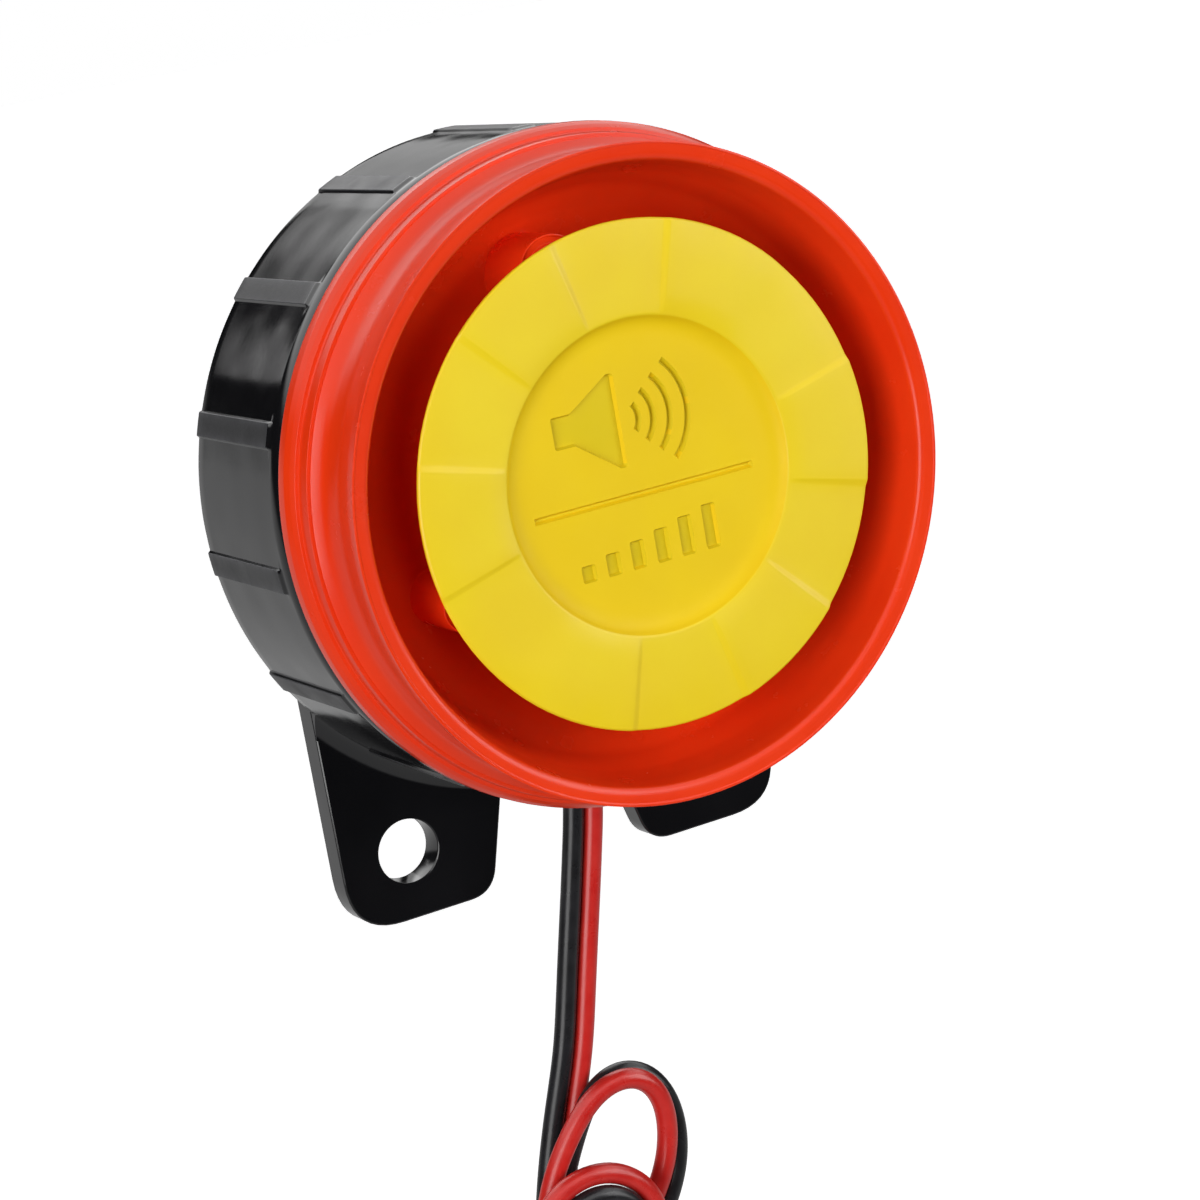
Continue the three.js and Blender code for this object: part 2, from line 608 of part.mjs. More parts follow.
function wireTie() {
  const middleX = 1.95;
  const middleY = (HANK_FRONT_Y + HANK_BACK_Y) / 2;
  const innerWidth = 8.4;
  const innerBreadth = HANK_BACK_Y - HANK_FRONT_Y + 2 * GAP;
  const bar = (grow, height, z) => new THREE.BoxGeometry(innerWidth + grow, innerBreadth + grow, height)
    .translate(middleX, middleY, z);
  const band = bar(2 * TIE_THICKNESS, TIE_WIDTH, -TIE_HEIGHT);
  return placeInHank(combine(band, [], [bar(0, TIE_WIDTH + 2, -TIE_HEIGHT)]));
}

// Below the hank the pair comes out turned round, with the red wire towards -X.
function tinnedEnd(side) {
  const across = 2.0 - (side * WIRE_SPACING) / 2;
  const end = new THREE.CylinderGeometry(0.55, 0.55, 5.0, 8).rotateX(Math.PI / 2);
  return placeInHank(end.translate(across, -11.9, -41.3));
}

// ---------------------------------------------------------------- assembly
const siren = new THREE.Group();

function piece(name, finish, geometry) {
  const mesh = new THREE.Mesh(geometry, new THREE.MeshStandardMaterial(FINISHES[finish]));
  mesh.name = name;
  siren.add(mesh);
}

piece('horn_shell', 'red_shell', hornShell());
piece('front_disc', 'yellow_disc', frontDisc());
piece('rear_housing', 'black_housing', rearHousing());
piece('seal_ring', 'black_rubber', sealRing());
SCREW_ANGLES.forEach((angle, i) => piece(`housing_screw_${i + 1}`, 'steel', housingScrew(angle)));

piece('driver_gasket', 'foam', driverGasket());
piece('driver_chassis', 'black_plastic', driverChassis());
LUG_ANGLES.forEach((angle, i) => piece(`driver_screw_${i + 1}`, 'steel', driverScrew(angle)));
piece('diaphragm_dome', 'film', diaphragmDome());
piece('diaphragm_surround', 'black_rubber', diaphragmSurround());
piece('coil_former', 'film', coilFormer());
piece('voice_coil', 'copper', voiceCoil());
piece('top_plate', 'steel', topPlate());
piece('ring_magnet', 'ferrite', magnet());
piece('yoke', 'steel', yoke());
piece('terminal_strip', 'board', terminalStrip());
for (const [name, side] of [['upper', 1], ['lower', -1]]) {
  piece(`terminal_lug_${name}`, 'brass', terminalLug(side));
  piece(`coil_lead_${name}`, side > 0 ? 'red_wire' : 'black_wire', coilLead(side));
}

piece('circuit_board', 'board', circuitBoard());
piece('oscillator_chip', 'black_plastic', chip(0, 6.5, 4.9, 3.9, 1.6, 4, 1.27));
piece('driver_transistor', 'black_plastic', chip(-7, 0, 4.6, 3.6, 1.7, 2, 3.0));
[4.5, 0.5, -3.5].forEach((z, i) => piece(`chip_resistor_${i + 1}`, 'black_plastic', chipResistor(z)));
piece('ceramic_capacitor', 'ceramic', ceramicCapacitor());
piece('protection_diode', 'black_plastic', protectionDiode());
piece('electrolytic_capacitor', 'capacitor_sleeve', electrolyticCapacitor());

piece('cable_grommet', 'black_rubber', cableGrommet());
for (const [colour, side] of [['black', -1], ['red', 1]]) {
  piece(`inner_lead_${colour}`, `${colour}_wire`, innerLead(side));
  piece(`${colour}_wire`, `${colour}_wire`, hangingWire(side));
  piece(`${colour}_wire_end`, 'tinned', tinnedEnd(side));
}
piece('wire_hank', 'black_wire', wireHank());
piece('wire_tie', 'black_plastic', wireTie());

export default siren;
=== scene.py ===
import json
import math

import bmesh
import bpy
from mathutils import Matrix, Quaternion, Vector

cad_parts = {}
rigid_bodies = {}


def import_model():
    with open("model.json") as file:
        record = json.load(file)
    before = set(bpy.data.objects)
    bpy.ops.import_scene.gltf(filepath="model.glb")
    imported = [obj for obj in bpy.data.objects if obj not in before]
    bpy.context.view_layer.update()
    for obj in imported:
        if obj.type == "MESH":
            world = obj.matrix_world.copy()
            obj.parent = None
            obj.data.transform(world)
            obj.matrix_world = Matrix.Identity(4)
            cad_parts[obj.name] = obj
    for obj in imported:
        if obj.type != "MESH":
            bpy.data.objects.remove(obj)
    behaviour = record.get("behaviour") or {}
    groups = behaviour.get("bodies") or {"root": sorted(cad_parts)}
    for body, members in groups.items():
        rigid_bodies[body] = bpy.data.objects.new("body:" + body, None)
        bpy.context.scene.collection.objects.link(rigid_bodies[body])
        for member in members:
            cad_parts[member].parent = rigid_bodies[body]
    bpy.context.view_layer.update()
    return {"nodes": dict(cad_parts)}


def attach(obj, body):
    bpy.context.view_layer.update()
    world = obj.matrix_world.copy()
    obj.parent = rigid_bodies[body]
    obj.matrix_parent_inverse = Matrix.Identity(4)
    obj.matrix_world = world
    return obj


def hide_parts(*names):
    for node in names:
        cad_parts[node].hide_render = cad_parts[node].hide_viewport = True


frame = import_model()

# Shapes are drawn in millimetres in the CAD's own frame: mouth towards -Y, Z up, and the origin at
# the centre of the rear face. "Depth" is the distance behind the horn's front lip.
MM = 0.001
TOTAL_DEPTH = 29.9
TURNED_SIDES = 160  # flats round a part turned about the horn's axis


def y_of(depth):
    return depth - TOTAL_DEPTH


def polar(radius, degrees):
    angle = math.radians(degrees)
    return radius * math.cos(angle), radius * math.sin(angle)


# ---------------------------------------------------------------- camera
CAMERA_AT = Vector((-0.12178, -0.25857, 0.04753))  # metres: before the horn, left of it and above
CAMERA_RIGHT = Vector((0.8636, -0.4754, -0.1680))
CAMERA_DOWN = Vector((-0.2477, -0.1098, -0.9626))
CAMERA_FORWARD = Vector((0.4391, 0.8729, -0.2126))
LENS = 102.0
SENSOR_WIDTH = 36.0
FARTHEST_SEEN = 50.0  # metres


def place_camera():
    data = bpy.data.cameras.new("camera")
    data.lens = LENS
    data.sensor_width = SENSOR_WIDTH
    data.clip_end = FARTHEST_SEEN
    camera = bpy.data.objects.new("camera", data)
    bpy.context.scene.collection.objects.link(camera)
    turn = Matrix((CAMERA_RIGHT, -CAMERA_DOWN, -CAMERA_FORWARD)).transposed()
    camera.matrix_world = Matrix.Translation(CAMERA_AT) @ turn.to_4x4()
    bpy.context.scene.camera = camera


place_camera()


# ---------------------------------------------------------------- materials
class Finish:
    """A principled material whose colour, roughness and bump come from noise in object space."""

    def __init__(self, name):
        self.material = bpy.data.materials.new(name)
        self.material.use_nodes = True
        self.tree = self.material.node_tree
        self.shader = self.tree.nodes["Principled BSDF"]
        self.height = None
        self.place = self.tree.nodes.new("ShaderNodeTexCoord").outputs["Object"]

    def set(self, **values):
        for socket, value in values.items():
            self.shader.inputs[socket.replace("_", " ")].default_value = value
        return self

    def noise(self, size_mm, detail=3.0, stretch=(1, 1, 1), offset=0.0):
        """Clouds about this wide; an offset makes them independent of the others."""
        mapping = self.tree.nodes.new("ShaderNodeMapping")
        mapping.inputs["Scale"].default_value = stretch
        mapping.inputs["Location"].default_value = (offset, offset, offset)
        self.tree.links.new(self.place, mapping.inputs["Vector"])
        node = self.tree.nodes.new("ShaderNodeTexNoise")
        node.inputs["Scale"].default_value = 1000.0 / size_mm
        node.inputs["Detail"].default_value = detail
        node.inputs["Roughness"].default_value = 0.55
        self.tree.links.new(mapping.outputs["Vector"], node.inputs["Vector"])
        return node.outputs["Fac"]

    def cells(self, size_mm):
        """Distance from the middle of the nearest cell, for specks and grains."""
        node = self.tree.nodes.new("ShaderNodeTexVoronoi")
        node.inputs["Scale"].default_value = 1000.0 / size_mm
        self.tree.links.new(self.place, node.inputs["Vector"])
        return node.outputs["Distance"]

    def spread(self, factor, low, high, start=0.3, end=0.7):
        """The factor's range from start to end stretched to the range from low to high."""
        node = self.tree.nodes.new("ShaderNodeMapRange")
        ends = {"From Min": start, "From Max": end, "To Min": low, "To Max": high}
        for socket, value in ends.items():
            node.inputs[socket].default_value = value
        self.tree.links.new(factor, node.inputs["Value"])
        return node.outputs["Result"]

    def edges(self):
        """1 on outward edges and 0 on flat or hollow places."""
        geometry = self.tree.nodes.new("ShaderNodeNewGeometry")
        return self.spread(geometry.outputs["Pointiness"], 0.0, 1.0, start=0.505, end=0.56)

    def product(self, first, second):
        node = self.tree.nodes.new("ShaderNodeMath")
        node.operation = "MULTIPLY"
        self.tree.links.new(first, node.inputs[0])
        self.tree.links.new(second, node.inputs[1])
        return node.outputs["Value"]

    def colour(self, *layers):
        """A first colour, then (factor, colour) pairs laid over it."""
        below = layers[0]
        for factor, over in layers[1:]:
            node = self.tree.nodes.new("ShaderNodeMix")
            node.data_type = "RGBA"
            colours = [socket for socket in node.inputs if socket.type == "RGBA"]
            for socket, value in zip(colours, (below, over)):
                if isinstance(value, bpy.types.NodeSocket):
                    self.tree.links.new(value, socket)
                else:
                    socket.default_value = (*value, 1.0)
            self.tree.links.new(factor, node.inputs["Factor"])
            below = [socket for socket in node.outputs if socket.type == "RGBA"][0]
        self.tree.links.new(below, self.shader.inputs["Base Color"])
        return self

    def rough(self, factor, low, high):
        self.tree.links.new(self.spread(factor, low, high), self.shader.inputs["Roughness"])
        return self

    def bump(self, factor, depth_mm):
        """Each bump is laid over the ones before it."""
        node = self.tree.nodes.new("ShaderNodeBump")
        node.inputs["Distance"].default_value = depth_mm * MM
        node.inputs["Strength"].default_value = 1.0
        self.tree.links.new(factor, node.inputs["Height"])
        if self.height is not None:
            self.tree.links.new(self.height, node.inputs["Normal"])
        self.height = node.outputs["Normal"]
        self.tree.links.new(self.height, self.shader.inputs["Normal"])
        return self


def linear(*levels):
    """A colour given from 0 to 255 on screen, as the shader needs it."""
    return tuple(
        ((level / 255 + 0.055) / 1.055) ** 2.4 if level > 10 else level / 255 / 12.92
        for level in levels
    )


# In the next three functions main and other are colours from 0 to 255 as on screen, rough is the
# range of the roughness, and grains, waves and cells are in millimetres.
def moulded(
    name, main, other, rough, rubbed_and_lit_edge=None,
    grain_mm=0.28, grain_depth=0.004, wave_depth=0.02, gloss=0.5, ior=1.5,
):
    """Moulded plastic: slow colour drift, mould grain, soft waves, and outward edges in a lighter
    colour that is partly rubbing and partly a painted edge highlight.
    """
    finish = Finish(name)
    layers = [(finish.spread(finish.noise(9.0, 2.0), 0.0, 1.0), linear(*other))]
    # Painted highlight: outward edges, found by pointiness, take the lighter colour, partly as
    # rubbing and partly as a painted edge highlight.
    if rubbed_and_lit_edge:
        rubbed_and_lit_mask = finish.product(finish.edges(), finish.spread(finish.noise(1.6), 0.15, 0.75))
        layers.append((rubbed_and_lit_mask, linear(*rubbed_and_lit_edge)))
    finish.colour(linear(*main), *layers)
    finish.rough(finish.noise(3.5, 4.0, offset=3.1), *rough)
    finish.bump(finish.noise(7.0, 1.0, offset=1.7), wave_depth)
    finish.bump(finish.noise(grain_mm, 2.0), grain_depth)
    finish.set(Specular_IOR_Level=gloss, IOR=ior)
    return finish.material


def metal(name, main, other, rough, grain_mm=0.12, stretch=(1, 1, 1), grain_depth=0.003):
    """Bare metal, clouded, with a fine grain that can be stretched into turns or brush marks."""
    finish = Finish(name)
    drift = finish.spread(finish.noise(2.5, 4.0, offset=2.0), 0.0, 1.0)
    finish.colour(linear(*main), (drift, linear(*other)))
    finish.rough(finish.noise(0.9, 4.0), *rough)
    finish.bump(finish.noise(grain_mm, 3.0, stretch=stretch), grain_depth)
    finish.set(Metallic=1.0)
    return finish.material


def speckled(name, main, other, rough, cell_mm, cell_depth):
    """A surface made of small cells: ferrite, foam, a laminated board, a film or a ceramic."""
    finish = Finish(name)
    specks = finish.spread(finish.cells(cell_mm), 0.0, 1.0, start=0.1, end=0.6)
    finish.colour(linear(*main), (specks, linear(*other)))
    finish.rough(finish.noise(1.2), *rough)
    finish.bump(finish.cells(cell_mm), cell_depth)
    return finish.material


RED = moulded(
    "red_shell", (238, 60, 18), (232, 53, 14), (0.23, 0.28),
    grain_depth=0.0008, wave_depth=0.005, gloss=0.42, ior=1.38,
)
YELLOW = moulded("yellow_disc", (236, 209, 20), (233, 202, 16), (0.42, 0.55))
RECESS = moulded("yellow_disc_recess", (236, 202, 10), (232, 196, 8), (0.55, 0.7), gloss=0.3)
ETCHED = moulded("yellow_disc_etched", (222, 196, 16), (216, 190, 12), (0.6, 0.75), gloss=0.3)
BLACK = moulded(
    "black_housing", (17, 17, 19), (21, 21, 23), (0.10, 0.16),
    grain_mm=0.5, grain_depth=0.0015, wave_depth=0.06,
)
# The lighter edge colours given below are partly rubbing and partly a painted edge highlight.
GRAINED = moulded(
    "black_rib_grain", (22, 22, 24), (32, 32, 34), (0.38, 0.55), rubbed_and_lit_edge=(74, 74, 78),
    grain_mm=0.22, grain_depth=0.014,
)
PLASTIC = moulded("black_plastic", (26, 26, 28), (34, 34, 37), (0.42, 0.58), rubbed_and_lit_edge=(80, 80, 84))
RUBBER = moulded(
    "black_rubber", (16, 16, 17), (24, 24, 25), (0.62, 0.8), rubbed_and_lit_edge=(48, 48, 50),
    grain_mm=0.16, grain_depth=0.008,
)
RED_PVC = moulded(
    "red_wire", (192, 31, 27), (182, 23, 22), (0.24, 0.36), rubbed_and_lit_edge=(222, 70, 60),
    grain_mm=0.2, grain_depth=0.003, wave_depth=0.03, gloss=0.4,
)
BLACK_PVC = moulded(
    "black_wire", (20, 20, 21), (27, 27, 29), (0.22, 0.34), rubbed_and_lit_edge=(60, 60, 64),
    grain_mm=0.2, grain_depth=0.003, wave_depth=0.03, gloss=0.3,
)
STEEL = metal("steel", (176, 178, 182), (150, 151, 156), (0.22, 0.4))
TINNED = metal("tinned", (205, 204, 200), (176, 174, 168), (0.24, 0.42), grain_mm=0.3)
BRASS = metal("brass", (205, 164, 84), (184, 140, 66), (0.24, 0.4))
COPPER = metal(
    "copper", (196, 112, 62), (166, 84, 44), (0.25, 0.4),
    grain_mm=0.25, stretch=(1, 24, 1), grain_depth=0.02,
)
FERRITE = speckled("ferrite", (58, 58, 61), (38, 38, 41), (0.55, 0.85), 0.5, 0.02)
FOAM = speckled("foam", (52, 52, 55), (24, 24, 26), (0.9, 1.0), 0.45, 0.12)
FILM = speckled("film", (190, 166, 110), (172, 146, 90), (0.28, 0.42), 2.2, 0.01)
BOARD = speckled("board", (28, 104, 58), (20, 82, 46), (0.3, 0.5), 0.9, 0.006)
SLEEVE = speckled("capacitor_sleeve", (30, 42, 88), (24, 34, 72), (0.28, 0.4), 1.5, 0.004)
CERAMIC = speckled("ceramic", (186, 152, 106), (168, 134, 90), (0.5, 0.65), 0.4, 0.008)


# ---------------------------------------------------------------- mesh helpers
def smooth(share):
    """An even slope from 0 to 1 with soft ends."""
    share = min(max(share, 0.0), 1.0)
    return share * share * (3 - 2 * share)


NEARLY_HALF = 0.49  # of a side: two neighbouring roundings never meet


def rounded(corners, steps=4):
    """A closed outline with the corners that have a third number rounded by that radius."""
    outline = []
    for i, corner in enumerate(corners):
        here = Vector(corner[:2])
        if len(corner) < 3:
            outline.append(here)
            continue
        before = Vector(corners[i - 1][:2]) - here
        after = Vector(corners[(i + 1) % len(corners)][:2]) - here
        reach = corner[2] / math.tan(before.angle(after) / 2)
        reach = min(reach, NEARLY_HALF * before.length, NEARLY_HALF * after.length)
        start = here + before.normalized() * reach
        end = here + after.normalized() * reach
        for k in range(steps + 1):
            t = k / steps
            outline.append((1 - t) ** 2 * start + 2 * t * (1 - t) * here + t * t * end)
    return outline


def skin(bm, rings, closed):
    """Faces between neighbouring rings of corners; a ring of one corner is a tip."""
    corners = [[bm.verts.new(point) for point in ring] for ring in rings]
    pairs = list(zip(corners, corners[1:]))
    if closed:
        pairs.append((corners[-1], corners[0]))
    for near, far in pairs:
        count = max(len(near), len(far))
        for i in range(count if count > 1 else 0):
            j = (i + 1) % count
            quad = [near[i % len(near)], near[j % len(near)], far[j % len(far)], far[i % len(far)]]
            unique = list(dict.fromkeys(quad))
            if len(unique) > 2:
                bm.faces.new(unique)
    return corners


def capped(bm, rings):
    """A skin over open rings, with a flat face on the first and on the last."""
    corners = skin(bm, rings, False)
    bm.faces.new(corners[0])
    bm.faces.new(reversed(corners[-1]))


ON_AXIS = 1e-6  # a smaller radius is a tip


def revolve(bm, profile, sides=TURNED_SIDES, at=(0.0, 0.0)):
    """A closed outline of (radius, depth) turned about the horn's axis or a line parallel to it."""
    rings = []
    for radius, depth in profile:
        if radius < ON_AXIS:
            rings.append([(at[0], y_of(depth), at[1])])
            continue
        turn = [polar(radius, 360.0 * i / sides) for i in range(sides)]
        rings.append([(at[0] + x, y_of(depth), at[1] + z) for x, z in turn])
    skin(bm, rings, profile[0][0] > ON_AXIS)


def inset(outline, distance):
    """The outline moved inwards, each corner along the mean of its two sides' normals."""
    area = sum(a[0] * b[1] - b[0] * a[1] for a, b in zip(outline, outline[1:] + outline[:1]))
    sign = 1 if area > 0 else -1
    moved = []
    for i, here in enumerate(outline):
        a = (Vector(here) - Vector(outline[i - 1])).normalized()
        b = (Vector(outline[(i + 1) % len(outline)]) - Vector(here)).normalized()
        normal = Vector((-a.y - b.y, a.x + b.x)) * sign
        normal.normalize()
        share = max(0.5, normal.dot(Vector((-a.y, a.x)) * sign))
        moved.append(Vector(here) + normal * distance / share)
    return moved


def slab(bm, outline, front, back, front_inset=0.0, back_inset=0.0, bevel=0.0):
    """An outline in X and Z between two depths, with sloping or softened edges."""
    if bevel:
        # The bevel's outer step is steep enough for the flat face's edge to stay sharp.
        inwards, along = 0.34 * bevel, 0.48 * bevel
        steps = [(front, bevel), (front + along, inwards), (front + bevel, 0.0)]
        steps += [(back - bevel, 0.0), (back - along, inwards), (back, bevel)]
    else:
        steps = [(front, front_inset), (back, back_inset)]
    rings = []
    for depth, distance in steps:
        ring = inset(outline, distance) if distance else outline
        rings.append([(p[0], y_of(depth), p[1]) for p in ring])
    capped(bm, rings)


SAME_PLACE_MM = 1e-5
SAME_PLACE_M = 1e-7


def solid(build):
    """A closed mesh in metres, its faces turned outwards, from a function that fills a bmesh."""
    bm = bmesh.new()
    build(bm)
    bmesh.ops.remove_doubles(bm, verts=bm.verts, dist=SAME_PLACE_MM)
    bmesh.ops.recalc_face_normals(bm, faces=bm.faces)
    bm.transform(Matrix.Scale(MM, 4))
    mesh = bpy.data.meshes.new("solid")
    bm.to_mesh(mesh)
    bm.free()
    return mesh


def fuse(base, added=None, cut=None, within=None):
    """The base with one mesh added and another taken away, or only what of it is within a third."""
    scene = bpy.context.scene.collection.objects
    whole = bpy.data.objects.new("whole", base)
    scene.link(whole)
    tools = []
    for mesh, operation in ((added, "UNION"), (cut, "DIFFERENCE"), (within, "INTERSECT")):
        if mesh is None:
            continue
        tool = bpy.data.objects.new("tool", mesh)
        scene.link(tool)
        tool.hide_render = True
        tools.append(tool)
        modifier = whole.modifiers.new(operation, "BOOLEAN")
        modifier.operation = operation
        modifier.solver = "EXACT"
        modifier.object = tool
    bpy.context.view_layer.update()
    evaluated = whole.evaluated_get(bpy.context.evaluated_depsgraph_get())
    mesh = bpy.data.meshes.new_from_object(evaluated)
    for thing in (whole, *tools):
        bpy.data.objects.remove(thing)
    bm = bmesh.new()
    bm.from_mesh(mesh)
    bmesh.ops.dissolve_degenerate(bm, dist=SAME_PLACE_M, edges=bm.edges)
    bm.to_mesh(mesh)
    bm.free()
    return mesh


def piece(name, mesh, finishes, node, sharp=32):
    """A piece of the casing that stands for a CAD node; edges above the sharp angle stay crisp."""
    mesh.name = name
    obj = bpy.data.objects.new(name, mesh)
    bpy.context.scene.collection.objects.link(obj)
    mesh.materials.clear()
    for finish in finishes:
        mesh.materials.append(finish)
    mesh.polygons.foreach_set("use_smooth", [True] * len(mesh.polygons))
    mesh.set_sharp_from_angle(angle=math.radians(sharp))
    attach(obj, "casing")
    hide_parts(node)
    return obj


# ---------------------------------------------------------------- supply wires
# The two wires follow one line, side by side. It leaves the grommet, hangs, and is folded into a
# hank that leans a little; points in the hank are given in its own leaning frame, from its top.
# The points are those of the wires' CAD solids.
WIRE_R = 0.9
WIRE_OFFSET = 0.93  # from the pair's line to each wire's centre
GROMMET_BOTTOM = -28.7
LEAN = math.radians(14.4)
HANK_TOP = (-6.0, -53.0)  # x, z
TIE_UP = -22.2
END_UP = -38.5  # where the insulation ends
END_ACROSS, END_Y = 2.0, -11.9
ROUTE_STEP = 0.5
SMOOTHING_PASSES = 26

# The pair's line between the grommet and the hank: x, y, z.
HANGING = [
    (0.0, -7.3, -28.3), (-0.25, -7.3, -30.4), (-0.95, -7.3, -33.4), (-1.75, -7.3, -36.8),
    (-2.6, -7.3, -40.2), (-3.45, -7.3, -43.6), (-4.35, -7.3, -47.3), (-5.3, -7.3, -51.05),
]
# In the hank: across, up, y, and the red wire's turn round the pair's line, in degrees.
DOWN_TO_TIE = [
    (-0.50, -5.0, -7.3, 0), (-0.76, -10.4, -7.3, 0), (-0.6, -15, -7.3, 0), (-0.1, -19, -7.2, 0),
    (0.15, TIE_UP, -7.2, 0),
]
LOWER_FOLD_BEHIND = [
    (-0.9, -25.0, -7.3, 0), (-3.1, -28.8, -7.5, 0), (-4.0, -32.5, -7.7, 0), (-2.4, -36.1, -7.9, 0),
    (1.5, -37.7, -8.1, 0), (5.4, -36.1, -8.3, 0), (7.3, -32.6, -8.5, 0), (6.9, -28.8, -8.6, 0),
    (5.0, -25.2, -8.7, 0), (3.95, TIE_UP, -8.8, 0),
]
UPPER_LOOP_BEHIND = [
    (5.0, -18, -9.2, 4), (7.7, -12.6, -9.7, 12), (9.0, -8.6, -9.9, 22), (8.9, -4.6, -10.0, 38),
    (7.1, -0.8, -10.1, 62), (4.1, 0.6, -10.1, 86), (1.0, -1.0, -10.0, 110),
    (-0.9, -4.8, -10.0, 135), (-2.1, -9.0, -9.9, 152), (-2.2, -13.5, -9.7, 162),
    (-1.0, -18.4, -9.4, 172), (0.15, TIE_UP, -9.2, 180),
]
LOWER_FOLD_IN_FRONT = [
    (-0.9, -25.0, -9.3, 180), (-2.9, -28.2, -9.5, 180), (-3.3, -31.6, -9.7, 180),
    (-1.7, -34.6, -9.9, 180), (1.6, -35.8, -10.1, 180), (4.9, -34.6, -10.3, 180),
    (6.7, -31.4, -10.5, 180), (6.3, -27.9, -10.6, 180), (4.9, -24.8, -10.7, 180),
    (3.95, TIE_UP, -10.8, 180),
]
UPPER_LOOP_IN_FRONT = [
    (4.6, -18.4, -11.4, 180), (5.8, -15.2, -12.2, 184), (5.8, -11.4, -12.8, 190),
    (3.6, -8.9, -13.0, 196), (0.2, -8.05, -13.1, 199), (-3.1, -9.7, -13.0, 196),
    (-4.4, -12.6, -12.7, 190), (-2.8, -16.4, -12.2, 184), (-0.6, -19.6, -11.6, 180),
    (0.15, TIE_UP, -11.4, 180),
]
TAIL = [
    (0.8, -25.6, -11.7, 180), (1.5, -29.6, -12.2, 180), (1.9, -33.6, -12.5, 180),
    (2.0, -36.6, -12.2, 180), (END_ACROSS, END_UP, END_Y, 180),
]
IN_HANK = [
    *DOWN_TO_TIE, *LOWER_FOLD_BEHIND, *UPPER_LOOP_BEHIND,
    *LOWER_FOLD_IN_FRONT, *UPPER_LOOP_IN_FRONT, *TAIL,
]


def into_hank(point):
    """From the part's frame to across, up and y in the hank's leaning frame."""
    x, y, z = point[0] - HANK_TOP[0], point[1], point[2] - HANK_TOP[1]
    return x * math.cos(LEAN) - z * math.sin(LEAN), x * math.sin(LEAN) + z * math.cos(LEAN), y


def out_of_hank(across, up, y):
    """From the hank's leaning frame to the part's."""
    x = HANK_TOP[0] + across * math.cos(LEAN) + up * math.sin(LEAN)
    return Vector((x, y, HANK_TOP[1] - across * math.sin(LEAN) + up * math.cos(LEAN)))


def through(points, per_span=16):
    """Centripetal Catmull-Rom curve through points of any dimension."""
    points = [Vector(point) for point in points]
    ends = [2 * points[0] - points[1], *points, 2 * points[-1] - points[-2]]
    line = []
    for a, b, c, d in zip(ends, ends[1:], ends[2:], ends[3:]):
        knots = [0.0]
        for start, end in ((a, b), (b, c), (c, d)):
            knots.append(knots[-1] + (end - start).xyz.length ** 0.5)
        for k in range(per_span):
            t = knots[1] + (knots[2] - knots[1]) * k / per_span
            rows = [a, b, c, d]
            levels = ((knots[:3], knots[1:]), (knots[:2], knots[2:]), (knots[1:2], knots[2:3]))
            for lows, highs in levels:
                rows = [
                    ((high - t) * row + (t - low) * after) / (high - low)
                    for low, high, row, after in zip(lows, highs, rows, rows[1:])
                ]
            line.append(rows[0])
    line.append(points[-1])
    return line


def evenly(line, step):
    """Points of any dimension at equal steps along a line, by their first three numbers."""
    marks = [0.0]
    for a, b in zip(line, line[1:]):
        marks.append(marks[-1] + (b - a).xyz.length)
    count = round(marks[-1] / step)
    result, i = [], 0
    for k in range(count + 1):
        mark = marks[-1] * k / count
        while i < len(line) - 2 and marks[i + 1] < mark:
            i += 1
        share = (mark - marks[i]) / (marks[i + 1] - marks[i])
        result.append(line[i].lerp(line[i + 1], min(share, 1.0)))
    return result


def pair_lines():
    """The black and the red wire's centrelines, side by side along the pair's smoothed line."""
    route = [(*into_hank(point), 0.0) for point in HANGING] + IN_HANK
    line = evenly(through(route), ROUTE_STEP)
    for _ in range(SMOOTHING_PASSES):
        middle = [0.25 * a + 0.5 * b + 0.25 * c for a, b, c in zip(line, line[1:], line[2:])]
        line = [line[0], *middle, line[-1]]
    black, red = [], []
    for i, here in enumerate(line):
        along = (line[min(i + 1, len(line) - 1)] - line[max(i - 1, 0)]).xyz.normalized()
        turn = math.radians(here[3])
        level = Vector((-along.y, along.x, 0))
        aside = math.cos(turn) * level + math.sin(turn) * Vector((0, 0, -1))
        aside -= aside.dot(along) * along
        aside.normalize()
        for wire, side in ((black, -1), (red, 1)):
            wire.append(out_of_hank(*(here.xyz + side * WIRE_OFFSET * aside)))
    return black, red


def tube(name, lines, radius, resolution=8):
    """A round tube along each line, in metres."""
    curve = bpy.data.curves.new(name, "CURVE")
    curve.dimensions = "3D"
    curve.bevel_depth = radius * MM
    curve.bevel_resolution = resolution
    curve.use_fill_caps = True
    for line in lines:
        spline = curve.splines.new("POLY")
        spline.points.add(len(line) - 1)
        for point, place in zip(spline.points, line):
            point.co = (*(Vector(place) * MM), 1.0)
        spline.use_smooth = True
    obj = bpy.data.objects.new(name, curve)
    bpy.context.scene.collection.objects.link(obj)
    return obj


def as_mesh(obj):
    """The object's final mesh; the object itself is removed."""
    bpy.context.view_layer.update()
    mesh = bpy.data.meshes.new_from_object(obj.evaluated_get(bpy.context.evaluated_depsgraph_get()))
    bpy.data.objects.remove(obj)
    return mesh


OUTER_STRANDS = 6  # round a seventh in the middle
STRAND_R = 0.175
STRAND_STEPS = 24
STRANDS_START = END_UP + 0.4  # inside the insulation
STRANDS_LENGTH = 4.9
TWIST = 150  # degrees over the strands' length
SOLDER_SIDES = 24


